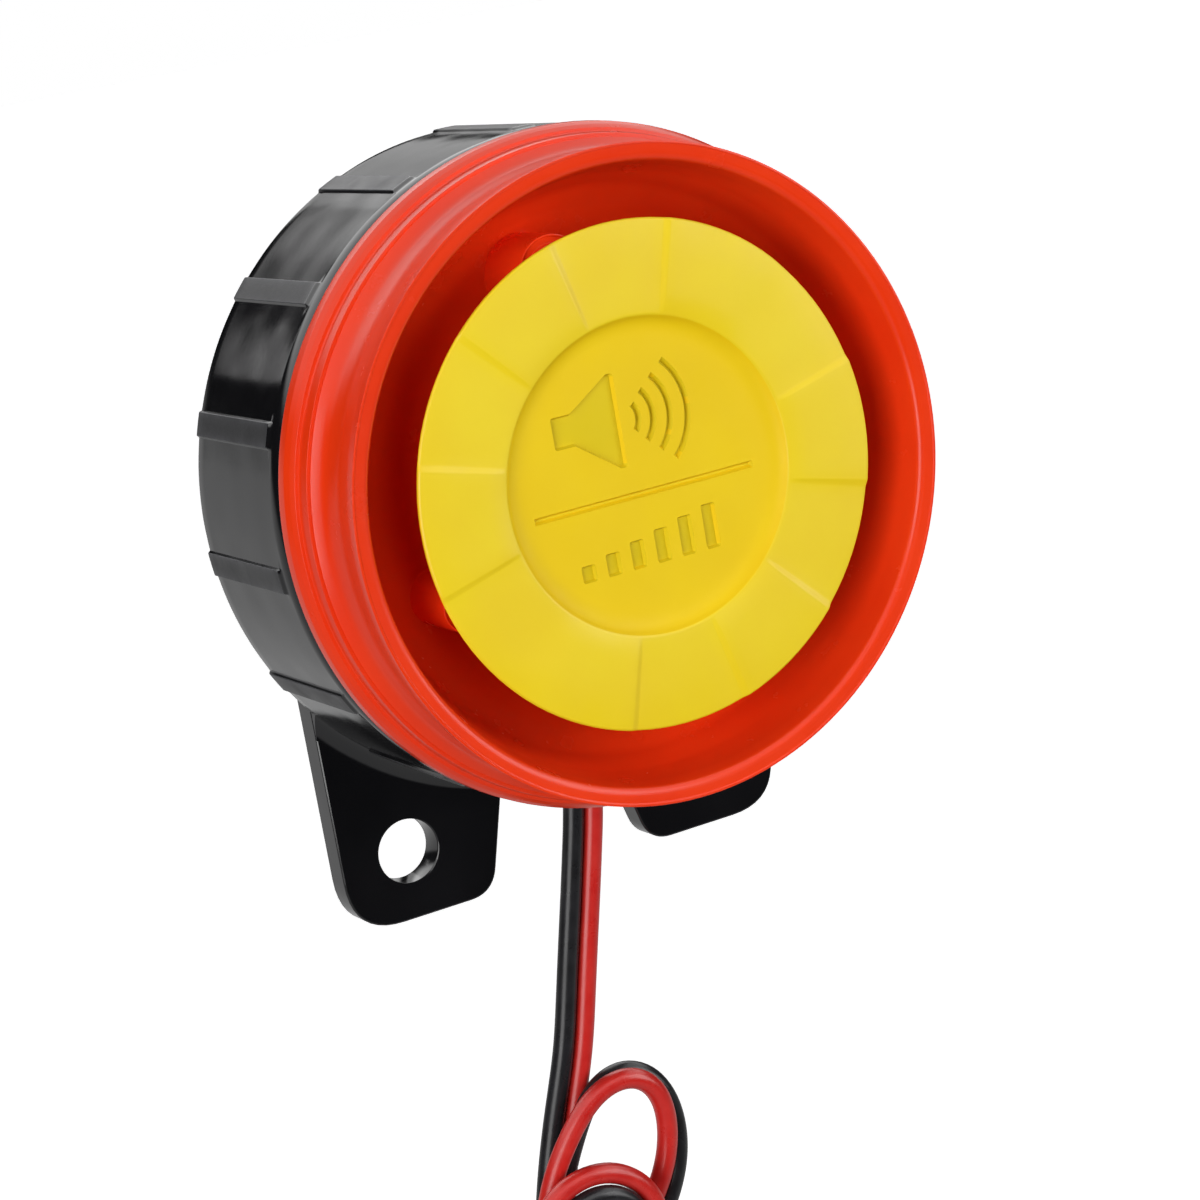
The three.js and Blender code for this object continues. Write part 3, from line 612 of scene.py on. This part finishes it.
def stranded_end(name, across, node):
    """Seven twisted tinned strands, soldered together towards their tip."""
    heights = [STRANDS_START - STRANDS_LENGTH * k / STRAND_STEPS for k in range(STRAND_STEPS + 1)]
    strands = [[out_of_hank(across, up, END_Y) for up in heights]]
    for strand in range(OUTER_STRANDS):
        line = []
        for k, up in enumerate(heights):
            turn = 360 / OUTER_STRANDS * strand + TWIST * k / STRAND_STEPS
            dx, dy = polar(2 * STRAND_R - 0.05 * (k / STRAND_STEPS) ** 2, turn)
            line.append(out_of_hank(across + dx, up, END_Y + dy))
        strands.append(line)
    twisted = as_mesh(tube(name, strands, STRAND_R, 3))

    def solder(bm):
        bottom = STRANDS_START - STRANDS_LENGTH - 0.15
        rings = [[out_of_hank(across, bottom, END_Y)]]
        for radius, height in ((0.3, 0.02), (0.44, 0.25), (0.47, 0.8), (0.44, 1.6), (0.36, 2.3)):
            ring = []
            for i in range(SOLDER_SIDES):
                turn = 360 / SOLDER_SIDES * i
                bulge = 1 + 0.06 * math.cos(math.radians(OUTER_STRANDS * turn) + 1.0)
                dx, dy = polar(radius * bulge, turn)
                ring.append(out_of_hank(across + dx, bottom + height, END_Y + dy))
            rings.append(ring)
        rings.append([out_of_hank(across, bottom + 2.4, END_Y)])
        skin(bm, rings, False)

    bm = bmesh.new()
    bm.from_mesh(twisted)
    bm.from_mesh(solid(solder))
    bm.to_mesh(twisted)
    bm.free()
    return piece(name, twisted, [TINNED], node, sharp=60)


def supply_wires(tie):
    """The two cords with their stranded ends; the tie argument is not used."""
    black, red = pair_lines()
    for colour, line, finish, side in (("black", black, BLACK_PVC, 1), ("red", red, RED_PVC, -1)):
        across = END_ACROSS + side * WIRE_OFFSET
        end = stranded_end(f"{colour}_wire_strands", across, f"{colour}_wire_end")
        cord = tube(f"{colour}_cord", [line], WIRE_R)
        cord.data.materials.append(finish)
        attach(cord, "casing")
        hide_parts(f"{colour}_wire", "wire_hank")


TIE_MIDDLE = (1.95, -9.35)  # across, y
TIE_HALF_ACROSS = 4.05
TIE_HALF_DEEP = 3.4


def wire_tie():
    """A thin strap round the bundle, with a ratchet head and a cropped tail on the front."""
    def rectangle(left, low, right, high, roundings, steps):
        corners = ((left, low), (right, low), (right, high), (left, high))
        return rounded([(*corner, r) for corner, r in zip(corners, roundings)], steps)

    middle, middle_y = TIE_MIDDLE
    width, depth = TIE_HALF_ACROSS, TIE_HALF_DEEP
    strap = rectangle(-width, -depth, width, depth, (1.8, 1.8, 1.8, 1.8), 8)

    def round_bundle(bm):
        section = [
            (0.0, -1.15), (0.0, 1.15), (0.25, 1.25), (0.75, 1.15),
            (0.9, 0.9), (0.9, -0.9), (0.75, -1.15), (0.25, -1.25),
        ]
        rings = []
        for outward, up in section:
            ring = inset(strap, -outward) if outward else strap
            rings.append([out_of_hank(middle + p[0], TIE_UP + up, middle_y + p[1]) for p in ring])
        skin(bm, rings, True)

    def standing_out(bm, outline, steps):
        """An outline through rings of (distance in front of the strap, inset)."""
        rings = []
        for forward, distance in steps:
            ring = inset(outline, distance) if distance else outline
            y = middle_y - depth - forward
            rings.append([out_of_hank(middle + p[0], TIE_UP + p[1], y) for p in ring])
        capped(bm, rings)

    def head_and_tail(bm):
        head = rectangle(-2.0, -1.55, 1.7, 1.55, (0.5, 0.5, 0.5, 0.5), 4)
        standing_out(bm, head, ((-0.2, 0.0), (2.1, 0.0), (2.45, 0.12), (2.6, 0.4)))
        tail = rectangle(1.5, -0.95, 4.4, 0.95, (0.2, 0.4, 0.4, 0.2), 3)
        standing_out(bm, tail, ((1.0, 0.1), (1.15, 0.0), (1.6, 0.0), (1.75, 0.1)))

    return [
        piece("wire_tie_strap", solid(round_bundle), [PLASTIC], "wire_tie"),
        piece("wire_tie_head", solid(head_and_tail), [PLASTIC], "wire_tie"),
    ]


supply_wires(wire_tie())


# ---------------------------------------------------------------- horn shell
PILLAR_ANGLES = (15, 104, 202, 285)
PILLAR_AT_R = 17.6
PILLAR_R = 2.1
WIDE_PILLAR = 104  # the one seen past the disc's edge
WIDE_PILLAR_R = 2.8
SCREW_ANGLES = (90, 210, 330)
SCREW_AT_R = 21.3
SCREW_HOLE_R = 1.55
LUG_ANGLES = (30, 150, 270)
LUG_AT_R = 19.6


def post(bm, at, radius, front, back, sides=32, edge=0.0):
    """A round post or hole between two depths, with its rear edge rounded where edge says so."""
    corner = (radius, back, edge) if edge else (radius, back)
    revolve(bm, rounded([(0.0, front), (radius, front), corner, (0.0, back)]), sides, at)


def pillar(bm, angle):
    """A post that carries the disc, with a narrow groove round its front face and a wider foot."""
    outer = WIDE_PILLAR_R if angle == WIDE_PILLAR else PILLAR_R
    inner = outer - 1.0
    profile = rounded([
        (0.0, 3.3), (inner - 0.05, 3.3, 0.06), (inner, 3.2, 0.06), (inner + 0.15, 3.2, 0.06),
        (inner + 0.3, 3.4, 0.08), (outer - 0.2, 3.4, 0.08), (outer - 0.15, 3.22, 0.06),
        (outer, 3.22, 0.08), (outer, 9.6, 0.6), (outer + 0.4, 10.4), (outer + 0.4, 11.5),
        (0.0, 11.5),
    ], 4)
    revolve(bm, profile, 48, polar(PILLAR_AT_R, angle))


def horn_shell():
    # Radius, depth and rounding of each corner, from the lip back outside and forward inside.
    lip = [(24.45, 0.12, 2.0), (25.6, 0.08, 0.1), (25.7, 0.0, 0.04), (25.87, 0.02, 0.05)]
    waist = [(25.7, 1.3, 3.0), (25.1, 4.2, 4.0), (25.4, 6.0, 1.6), (26.2, 6.9, 0.1)]
    flange = [
        (26.28, 6.9, 0.02), (26.5, 6.98, 0.06), (26.6, 8.0, 0.5), (26.68, 8.12, 0.02),
        (26.92, 8.2, 0.06), (27.2, 8.6, 0.4), (27.45, 9.1, 0.3), (27.5, 10.1, 0.12), (25.0, 10.1),
    ]
    rear = [
        (25.0, 13.4), (23.6, 13.4), (23.6, 11.9), (18.2, 11.9), (18.2, 13.6), (7.0, 13.6, 0.1),
        (7.0, 11.4, 0.4),
    ]
    bell = [
        (8.0, 10.9, 1.0), (17.0, 9.9, 5.0), (20.6, 8.9, 3.0), (22.6, 6.9, 3.0), (23.6, 4.2, 5.0),
        (24.1, 1.6, 2.0),
    ]
    profile = rounded(lip + waist + flange + rear + bell)

    def added(bm):
        for angle in PILLAR_ANGLES:
            pillar(bm, angle)
        for angle in SCREW_ANGLES:
            post(bm, polar(SCREW_AT_R, angle), 2.6, 11.5, 25.7, edge=0.3)
        for angle in LUG_ANGLES:
            post(bm, polar(LUG_AT_R, angle), 2.3, 11.5, 13.6, edge=0.2)

    def holes(bm):
        for angle in PILLAR_ANGLES:
            post(bm, polar(PILLAR_AT_R, angle), 1.2, 1.0, 7.4)
        for angle in SCREW_ANGLES:
            post(bm, polar(SCREW_AT_R, angle), SCREW_HOLE_R, 18.6, 27.0, 24)
        for angle in LUG_ANGLES:
            post(bm, polar(LUG_AT_R, angle), 1.2, 11.0, 15.0, 24)

    shell = fuse(solid(lambda bm: revolve(bm, profile)), added=solid(added), cut=solid(holes))
    piece("horn_shell_moulding", shell, [RED], "horn_shell")


# ---------------------------------------------------------------- front disc
DISC_FRONT = 1.05
RECESS_R = 12.55
RECESS_FLOOR = DISC_FRONT + 0.8
ENGRAVED = 0.36
RAISED = 0.19  # alternate sectors of the disc's border stand this far forward
RAISED_RIM = 0.03  # and reach this much further out
SECTOR_PITCH = 30
SECTOR_LINES = [15 + SECTOR_PITCH * k for k in range(12)]
SLOPE_HALF = 1.1  # degrees on each side of a sector's line
SOFT_LINES = (45, 225)  # these two steps are too soft to be seen
SOFT_HALF = 6.0


def raised_share(angle):
    """1 on the raised sectors, 0 on the others, with a short slope on each line."""
    nearest = min(SECTOR_LINES, key=lambda line: abs((angle - line + 180) % 360 - 180))
    offset = (angle - nearest + 180) % 360 - 180
    half = SOFT_HALF if nearest in SOFT_LINES else SLOPE_HALF
    share = smooth(0.5 + offset / (2 * half))
    rises = SECTOR_LINES.index(nearest) % 2 == 1
    return share if rises else 1 - share


def disc_angles():
    """Angles close together on the lines' slopes and wide apart between them."""
    between = SECTOR_PITCH - 2 * SLOPE_HALF
    angles = []
    for line in SECTOR_LINES:
        angles += [line + SLOPE_HALF * k / 4 for k in range(-4, 5)]
        angles += [line + SLOPE_HALF + between * k / 9 for k in range(1, 9)]
    return angles


def disc_body(bm):
    floor, front = RECESS_FLOOR, DISC_FRONT
    # Radius, depth, and how much of the sector's rise reaches this ring.
    recess_wall = [
        (10.6, floor, 0), (10.8, floor, 0), (11.1, floor - 0.01, 0), (11.4, floor - 0.04, 0),
        (11.7, floor - 0.11, 0), (11.95, floor - 0.21, 0), (12.15, floor - 0.34, 0),
        (12.3, floor - 0.48, 0), (12.41, floor - 0.62, 0.02), (12.5, front + 0.07, 0.05),
        (12.58, front + 0.02, 0.08),
    ]
    border = [
        (12.7, front, 0.12), (13.0, front - 0.01, 0.4), (13.6, front - 0.02, 0.85),
        (14.4, front - 0.02, 1), (17.0, front, 1),
    ]
    rim = [
        (19.6, front + 0.02, 1), (19.85, front + 0.06, 1), (19.96, front + 0.14, 0.95),
        (20.0, front + 0.24, 0.8), (19.94, front + 0.4, 0.5), (19.0, 2.75, 0), (18.8, 2.9, 0),
    ]
    angles = disc_angles()
    rings = [[(0.0, y_of(floor), 0.0)]]
    for radius, depth, share in recess_wall + border + rim:
        ring = []
        for angle in angles:
            rise = raised_share(angle)
            on_raised_rim = share and radius > border[-1][0]
            x, z = polar(radius + (RAISED_RIM * rise if on_raised_rim else 0.0), angle)
            ring.append((x, y_of(depth - RAISED * share * rise), z))
        rings.append(ring)
    rings.append([(0.0, y_of(2.9), 0.0)])
    skin(bm, rings, False)


LOUDSPEAKER = [
    (-7.3, 3.7, 0.15), (-7.3, 6.1, 0.15), (-5.6, 6.1), (-2.0, 8.4, 0.2), (-1.5, 8.4, 0.2),
    (-1.5, 1.1, 0.2), (-2.0, 1.1, 0.2), (-5.6, 3.7),
]
RULE = [(-10.1, -1.55), (-10.1, -1.13), (9.5, -1.13), (9.5, -1.55)]
ARC_FARTHEST = (0.2, 1.5, 3.0, 4.6)  # each arc's farthest point across
ARC_HEIGHT = 4.65
ARC_HALF_WIDTH = 0.2
BAR_COUNT = 6
BAR_HALF_WIDTH = 0.55
BARS_BOTTOM = -7.0


def disc_engraving(bm):
    """Loudspeaker, four sound arcs, a rule and a row of level bars, each with sloping sides."""
    flat = [rounded(LOUDSPEAKER, 3)]
    for i in range(BAR_COUNT):
        left = -6.3 + i * 2.25 - BAR_HALF_WIDTH
        right = -6.3 + i * 2.25 + BAR_HALF_WIDTH
        top = BARS_BOTTOM + 1.2 + i * 0.45
        corners = ((left, BARS_BOTTOM), (left, top), (right, top), (right, BARS_BOTTOM))
        flat.append(rounded([(*corner, 0.15) for corner in corners], 3))
    grooves = []
    for i, farthest in enumerate(ARC_FARTHEST):
        radius = 1.6 + i * 1.25
        spread = math.degrees(math.asin((1.0 + i * 0.95) / radius))
        arc = []
        for side in (1, -1):
            for k in range(-8, 9):
                x, z = polar(radius + side * ARC_HALF_WIDTH, side * spread * k / 8)
                arc.append((farthest - radius + x, ARC_HEIGHT + z))
        grooves.append(arc)
    grooves.append(RULE)
    front, back = RECESS_FLOOR - 0.12, RECESS_FLOOR + ENGRAVED
    for outlines, narrowing in ((flat, 0.08), (grooves, 0.13)):
        for outline in outlines:
            slab(bm, [Vector(point) for point in outline], front, back, -0.14, narrowing)


def front_disc():
    def pins(bm):
        for angle in PILLAR_ANGLES:
            post(bm, polar(PILLAR_AT_R, angle), 0.9, 2.5, 6.8, 24, edge=0.3)

    mesh = fuse(solid(disc_body), added=solid(pins), cut=solid(disc_engraving))
    finishes = [YELLOW, RECESS, ETCHED]
    disc = piece("front_disc_moulding", mesh, finishes, "front_disc", sharp=24)
    for polygon in disc.data.polygons:
        centre = polygon.center / MM
        depth = centre.y + TOTAL_DEPTH
        within = math.hypot(centre.x, centre.z) < RECESS_R and depth > DISC_FRONT + 0.1
        if within and polygon.normal.y < 0.1:
            finish = ETCHED if depth > RECESS_FLOOR + 0.08 else RECESS
            polygon.material_index = finishes.index(finish)


# ---------------------------------------------------------------- rear housing
RIB_COUNT = 15
RIB_PITCH = 360 / RIB_COUNT
FIRST_RIB = 90
RIB_HALF_ANGLE = 1.95
RIB_FLANK = 0.4  # degrees taken by the slope at each side of a rib
RIBS_START = 12.0  # depth
DRUM_R = 27.38
RIB_R = 27.6
RIM_R = 27.1
LEDGE = 26.92  # depth at which the drum steps in to its rear face
LEDGE_R = 26.2
INNER_R = 25.3
INNER_BACK = 27.9
EAR_FRONT = TOTAL_DEPTH - 2.6
EAR_HOLE_AT = (14.9, -31.2)
WEB_R = 28.9
WEB_HEIGHT = 1.4
CABLE_Y = -7.3


def drum_radius(offset, depth):
    """Outer radius at an angle from the nearest rib: low ribs on a wall with faint sink marks."""
    rise = smooth((RIB_HALF_ANGLE + RIB_FLANK - abs(offset)) / RIB_FLANK)
    rise *= smooth((depth - RIBS_START) / 0.5)
    beside = math.exp(-(((abs(offset) - RIB_HALF_ANGLE - 2.4) / 1.7) ** 2))
    sink = 0.035 * beside * (0.6 + 0.4 * math.cos(1.1 * (depth - 19.0)))
    return DRUM_R - sink * (1 - rise) + (RIB_R - DRUM_R) * rise


def drum_body(bm):
    flank = RIB_HALF_ANGLE + RIB_FLANK
    half_rib = [RIB_HALF_ANGLE + RIB_FLANK * k / 3 for k in range(4)]
    offsets = [-offset for offset in reversed(half_rib)] + [-1.2, 0.0, 1.2] + half_rib
    offsets += [flank + (RIB_PITCH - 2 * flank) * k / 12 for k in range(1, 12)]
    ribs = [FIRST_RIB + number * RIB_PITCH for number in range(RIB_COUNT)]
    places = [(rib, offset) for rib in ribs for offset in offsets]

    def ring(depth, radius=None, sunk=0.0):
        """The drum's outline at a depth, or a plain circle where a radius is given."""
        turn = []
        for rib, offset in places:
            nearest = offset if offset < RIB_PITCH / 2 else offset - RIB_PITCH
            reach = radius if radius else drum_radius(nearest, depth) - sunk
            x, z = polar(reach, rib + offset)
            turn.append((x, y_of(depth), z))
        return turn

    front = [
        ring(10.8, INNER_R), ring(10.8, RIM_R - 0.14), ring(10.84, RIM_R - 0.05),
        ring(10.92, RIM_R + 0.03), ring(11.08, RIM_R + 0.12), ring(11.3, RIM_R + 0.2),
        ring(11.55, RIM_R + 0.25), ring(11.8, DRUM_R),
    ]
    wall = [ring(RIBS_START + 0.125 * k) for k in range(5)]
    wall += [ring(13.2 + 1.12 * k) for k in range(13)]
    wall += [ring(26.72, sunk=0.02), ring(26.86, sunk=0.09), ring(LEDGE, sunk=0.22)]
    rear = [
        ring(LEDGE, LEDGE_R), ring(29.3, LEDGE_R), ring(29.55, 26.12), ring(29.76, 25.96),
        ring(TOTAL_DEPTH, 25.78), [(0.0, y_of(TOTAL_DEPTH), 0.0)],
    ]
    skin(bm, front + wall + rear, False)
    inside = [ring(10.8, INNER_R), ring(INNER_BACK, INNER_R), [(0.0, y_of(INNER_BACK), 0.0)]]
    skin(bm, inside, False)


def ear_outline(side):
    corners = rounded([
        (21.2, -12.0), (21.2, -37.1, 4.8), (7.8, -37.1, 2.9), (4.8, -26.2, 2.0), (3.4, -25.2),
        (3.4, -12.0),
    ], 10)
    return [Vector((side * p[0], p[1])) for p in corners]


def oval(width, breadth, steps=12):
    """A bar with round ends in X and Y."""
    half = width / 2 - breadth / 2
    ends = []
    for start, x in ((-90, half), (90, -half)):
        for k in range(steps + 1):
            px, py = polar(breadth / 2, start + 180 * k / steps)
            ends.append((x + px, py))
    return ends


def upright(bm, outline, steps):
    """An outline in X and Y, round the wires' line, through rings of (z, inset)."""
    rings = []
    for z, distance in steps:
        ring = inset(outline, distance) if distance else outline
        rings.append([(p[0], CABLE_Y + p[1], z) for p in ring])
    capped(bm, rings)


def ear_plates(bm):
    for side in (-1, 1):
        slab(bm, ear_outline(side), EAR_FRONT, TOTAL_DEPTH, bevel=0.14)


def ear_webs():
    """Where drum and ears meet, a concave slope from the drum's wall to the ears' front faces."""
    def slope(bm):
        curve = []
        for k in range(9):
            turn = math.pi / 2 * k / 8
            reach = WEB_R - (WEB_R - DRUM_R + 0.3) * math.cos(turn) ** 1.2
            curve.append((reach, EAR_FRONT - WEB_HEIGHT * (1 - math.sin(turn))))
        revolve(bm, [(26.0, EAR_FRONT - WEB_HEIGHT), *curve, (WEB_R, 28.5), (26.0, 28.5)])

    def over_ears(bm):
        for side in (-1, 1):
            slab(bm, inset(ear_outline(side), 0.05), 24.0, TOTAL_DEPTH - 0.4)

    return fuse(solid(slope), within=solid(over_ears))


def housing_bosses(bm):
    for angle in SCREW_ANGLES:
        post(bm, polar(SCREW_AT_R, angle), 3.1, 25.9, 28.1)
    for side in (-1, 1):
        post(bm, (side * 11, -9), 1.0, 25.5, 28.1, 24)


def housing_holes(bm):
    """Sunk screw holes, chamfered holes in the ears, and the slot for the grommet."""
    screw_hole = rounded([
        (0.0, 24.0), (SCREW_HOLE_R, 24.0), (SCREW_HOLE_R, 27.5), (2.6, 27.5), (2.6, 29.65, 0.1),
        (3.0, 30.2), (0.0, 30.2),
    ], 2)
    for angle in SCREW_ANGLES:
        revolve(bm, screw_hole, 48, polar(SCREW_AT_R, angle))
    ear_hole = rounded([
        (0.0, 27.0), (3.15, 27.0), (2.75, 27.4, 0.1), (2.75, 29.75, 0.1), (3.2, 30.2), (0.0, 30.2),
    ], 2)
    for side in (-1, 1):
        revolve(bm, ear_hole, 64, (side * EAR_HOLE_AT[0], EAR_HOLE_AT[1]))
    upright(bm, oval(6.4, 4.4), ((-29.5, 0.0), (-24.0, 0.0)))


def rear_housing():
    shell = fuse(solid(drum_body), added=solid(ear_plates))
    shell = fuse(shell, added=ear_webs())
    shell = fuse(shell, added=solid(housing_bosses), cut=solid(housing_holes))
    finishes = [BLACK, GRAINED]
    housing = piece("rear_housing_moulding", shell, finishes, "rear_housing")
    for polygon in housing.data.polygons:
        centre = polygon.center / MM
        angle = math.degrees(math.atan2(centre.z, centre.x)) - FIRST_RIB
        offset = (angle + RIB_PITCH / 2) % RIB_PITCH - RIB_PITCH / 2
        outside = math.hypot(centre.x, centre.z) > DRUM_R and abs(polygon.normal.y) < 0.2
        if outside and abs(offset) < RIB_HALF_ANGLE + 0.1 and y_of(12.3) < centre.y < y_of(26.9):
            polygon.material_index = finishes.index(GRAINED)


# ---------------------------------------------------------------- seal, grommet and screws
SCREW_SEAT = 27.6
SHANK_R = 1.25
SHANK_LENGTH = 8.6
HEAD_R = 2.2
HEAD_HEIGHT = 1.5


def seal_ring():
    profile = rounded([
        (25.4, 10.12, 0.1), (26.75, 10.12, 0.2), (26.75, 10.78, 0.2), (25.4, 10.78, 0.1),
    ], 3)
    mesh = solid(lambda bm: revolve(bm, profile))
    piece("seal_ring_moulding", mesh, [RUBBER], "seal_ring")


def cable_grommet():
    def body(bm):
        upright(bm, oval(8.0, 5.6), (
            (GROMMET_BOTTOM, 0.6), (-28.62, 0.25), (-28.4, 0.0), (-27.7, 0.0), (-27.45, 0.2),
            (-27.42, 0.9), (-27.3, 1.1), (-25.0, 1.1), (-24.9, 0.6), (-24.8, 0.2), (-24.2, 0.2),
            (-24.0, 0.6),
        ))

    def funnel(bm):
        upright(bm, oval(3.8, 1.95), (
            (-29.0, -0.35), (GROMMET_BOTTOM, -0.35), (-28.35, 0.0), (-28.1, 0.0),
        ))

    grommet = fuse(solid(body), cut=solid(funnel))
    piece("cable_grommet_moulding", grommet, [RUBBER], "cable_grommet")


def cross(bm, at, top, bottom, half_long, half_wide):
    """A tapered cross recess."""
    corners = []
    for arm in range(4):
        cosine, sine = polar(1.0, 90 * arm)
        for x, z in ((half_long, -half_wide), (half_long, half_wide), (half_wide, half_wide)):
            corners.append(Vector((at[0] + x * cosine - z * sine, at[1] + x * sine + z * cosine)))
    slab(bm, corners, bottom, top, 0.28, 0.0)


def housing_screw(number, angle):
    """A pan-headed screw seen from behind."""
    at = polar(SCREW_AT_R, angle)
    profile = rounded([
        (0.0, SCREW_SEAT + HEAD_HEIGHT), (HEAD_R * 0.72, SCREW_SEAT + HEAD_HEIGHT * 0.93, 0.8),
        (HEAD_R, SCREW_SEAT + HEAD_HEIGHT * 0.45, 0.4), (HEAD_R, SCREW_SEAT),
        (SHANK_R, SCREW_SEAT, 0.1), (SHANK_R, SCREW_SEAT - SHANK_LENGTH + 1.2),
        (0.0, SCREW_SEAT - SHANK_LENGTH),
    ], 5)

    def recess(bm):
        top, bottom = SCREW_SEAT + HEAD_HEIGHT + 0.4, SCREW_SEAT + HEAD_HEIGHT * 0.3
        cross(bm, at, top, bottom, HEAD_R * 0.56, 0.34)

    mesh = fuse(solid(lambda bm: revolve(bm, profile, 40, at)), cut=solid(recess))
    node = f"housing_screw_{number}"
    piece(f"{node}_pan_head", mesh, [STEEL], node)


horn_shell()
front_disc()
rear_housing()
seal_ring()
cable_grommet()
for screw_number, screw_angle in enumerate(SCREW_ANGLES, 1):
    housing_screw(screw_number, screw_angle)


# ---------------------------------------------------------------- inner parts
# These keep their CAD shape.
KEPT = {
    FOAM: ["driver_gasket"],
    PLASTIC: [
        "driver_chassis", "oscillator_chip", "driver_transistor", "protection_diode",
        "chip_resistor_1", "chip_resistor_2", "chip_resistor_3",
    ],
    STEEL: ["driver_screw_1", "driver_screw_2", "driver_screw_3", "top_plate", "yoke"],
    FILM: ["diaphragm_dome", "coil_former"],
    RUBBER: ["diaphragm_surround"],
    COPPER: ["voice_coil"],
    FERRITE: ["ring_magnet"],
    BOARD: ["terminal_strip", "circuit_board"],
    BRASS: ["terminal_lug_upper", "terminal_lug_lower"],
    CERAMIC: ["ceramic_capacitor"],
    SLEEVE: ["electrolytic_capacitor"],
    RED_PVC: ["coil_lead_upper", "inner_lead_red"],
    BLACK_PVC: ["coil_lead_lower", "inner_lead_black"],
}
for kept_finish, kept_nodes in KEPT.items():
    for kept_node in kept_nodes:
        materials = frame["nodes"][kept_node].data.materials
        materials.clear()
        materials.append(kept_finish)


# ---------------------------------------------------------------- floor and light
FLOOR_HALF = 12.0  # metres
FLOOR_BELOW = 0.5
MIDDLE = (0, -0.015, 0)  # where the lights point
STRIP_TOWARDS = (-0.025, -0.01, 0.012)


def stage():
    """A floor that glows almost as bright as the room, so that no horizon shows."""
    bm = bmesh.new()
    bmesh.ops.create_grid(bm, x_segments=8, y_segments=8, size=FLOOR_HALF)
    mesh = bpy.data.meshes.new("floor")
    bm.to_mesh(mesh)
    bm.free()
    floor = bpy.data.objects.new("floor", mesh)
    floor.location = (0, 0, -FLOOR_BELOW)
    bpy.context.scene.collection.objects.link(floor)
    finish = Finish("pale_floor")
    clouds = finish.spread(finish.noise(900.0), 0.0, 1.0)
    finish.colour(linear(250, 250, 250), (clouds, linear(246, 246, 246)))
    finish.set(Roughness=0.9, Emission_Color=(1, 1, 1, 1), Emission_Strength=0.88)
    mesh.materials.append(finish.material)
    floor.visible_glossy = False
    floor.visible_diffuse = False


def soft_light(name, at, size, power, towards=MIDDLE, roll=0.0, mirrored=True):
    """A rectangular light, in metres and watts, that faces a point."""
    data = bpy.data.lights.new(name, "AREA")
    data.shape = "RECTANGLE"
    data.size, data.size_y = size
    data.energy = power
    light = bpy.data.objects.new(name, data)
    light.location = at
    facing = (Vector(towards) - Vector(at)).to_track_quat("-Z", "Y")
    light.rotation_euler = (facing @ Quaternion((0, 0, 1), math.radians(roll))).to_euler()
    light.visible_camera = False
    light.visible_glossy = mirrored
    bpy.context.scene.collection.objects.link(light)


def bright_part(tree, direction, start, end):
    """1 in the part of the room along a direction, with a soft edge from start to end."""
    place = tree.nodes.new("ShaderNodeTexCoord")
    share = tree.nodes.new("ShaderNodeVectorMath")
    share.operation = "DOT_PRODUCT"
    share.inputs[1].default_value = direction
    tree.links.new(place.outputs["Generated"], share.inputs[0])
    step = tree.nodes.new("ShaderNodeMapRange")
    step.interpolation_type = "SMOOTHSTEP"
    step.inputs["From Min"].default_value = start
    step.inputs["From Max"].default_value = end
    tree.links.new(share.outputs["Value"], step.inputs["Value"])
    return step.outputs["Result"]


def weighed(tree, *pairs):
    """The sum of two values, each times its share."""
    products = []
    for value, share in pairs:
        node = tree.nodes.new("ShaderNodeMath")
        node.operation = "MULTIPLY"
        node.inputs[1].default_value = share
        tree.links.new(value, node.inputs[0])
        products.append(node)
    total = tree.nodes.new("ShaderNodeMath")
    total.operation = "ADD"
    for i, node in enumerate(products):
        tree.links.new(node.outputs["Value"], total.inputs[i])
    return total.outputs["Value"]


def chosen(tree, ray, when_not, when_so):
    """One of two values, or a number, by the kind of ray."""
    node = tree.nodes.new("ShaderNodeMix")
    tree.links.new(ray, node.inputs["Factor"])
    for socket, value in (("A", when_not), ("B", when_so)):
        if isinstance(value, float):
            node.inputs[socket].default_value = value
        else:
            tree.links.new(value, node.inputs[socket])
    return node.outputs["Result"]


def studio():
    """A pale room with a dark horizon, and soft lights; the camera sees only white."""
    world = bpy.data.worlds.new("studio")
    bpy.context.scene.world = world
    world.use_nodes = True
    tree = world.node_tree
    background = tree.nodes["Background"]
    background.inputs["Color"].default_value = (1, 1, 1, 1)
    ceiling = bright_part(tree, (0, 0, 1), 0.35, 0.5)
    ground = bright_part(tree, (0, 0.3, -1), 0.16, 0.28)
    rays = tree.nodes.new("ShaderNodeLightPath").outputs
    diffuse = weighed(tree, (ceiling, 0.12), (ground, 0.05))
    mirrored = weighed(tree, (ceiling, 2.6), (ground, 0.58))
    lit = chosen(tree, rays["Is Glossy Ray"], diffuse, mirrored)
    tree.links.new(chosen(tree, rays["Is Camera Ray"], lit, 1.0), background.inputs["Strength"])
    soft_light("key", (0.48, -0.45, 0.13), (0.4, 0.4), 2.55)
    soft_light("left", (-0.54, -0.38, 0.03), (0.4, 0.5), 3.65)
    soft_light("front", (-0.05, -0.72, 0.03), (0.3, 0.2), 0.85, mirrored=False)
    soft_light("back", (0.25, 0.60, 0.27), (0.34, 0.26), 0.2)
    # The strip makes a narrow reflection on one of the drum's facets.
    soft_light("strip", (-0.23, 0.636, 0.22), (0.03, 0.12), 0.016, STRIP_TOWARDS, roll=30)
    soft_light("rear_fill", (0.0, 0.62, 0.5), (0.7, 0.5), 3.6, mirrored=False)
    soft_light("lower_fill", (0.3, 0.4, -0.35), (0.5, 0.4), 1.2, mirrored=False)
    bpy.context.scene.view_settings.view_transform = "Standard"


stage()
studio()
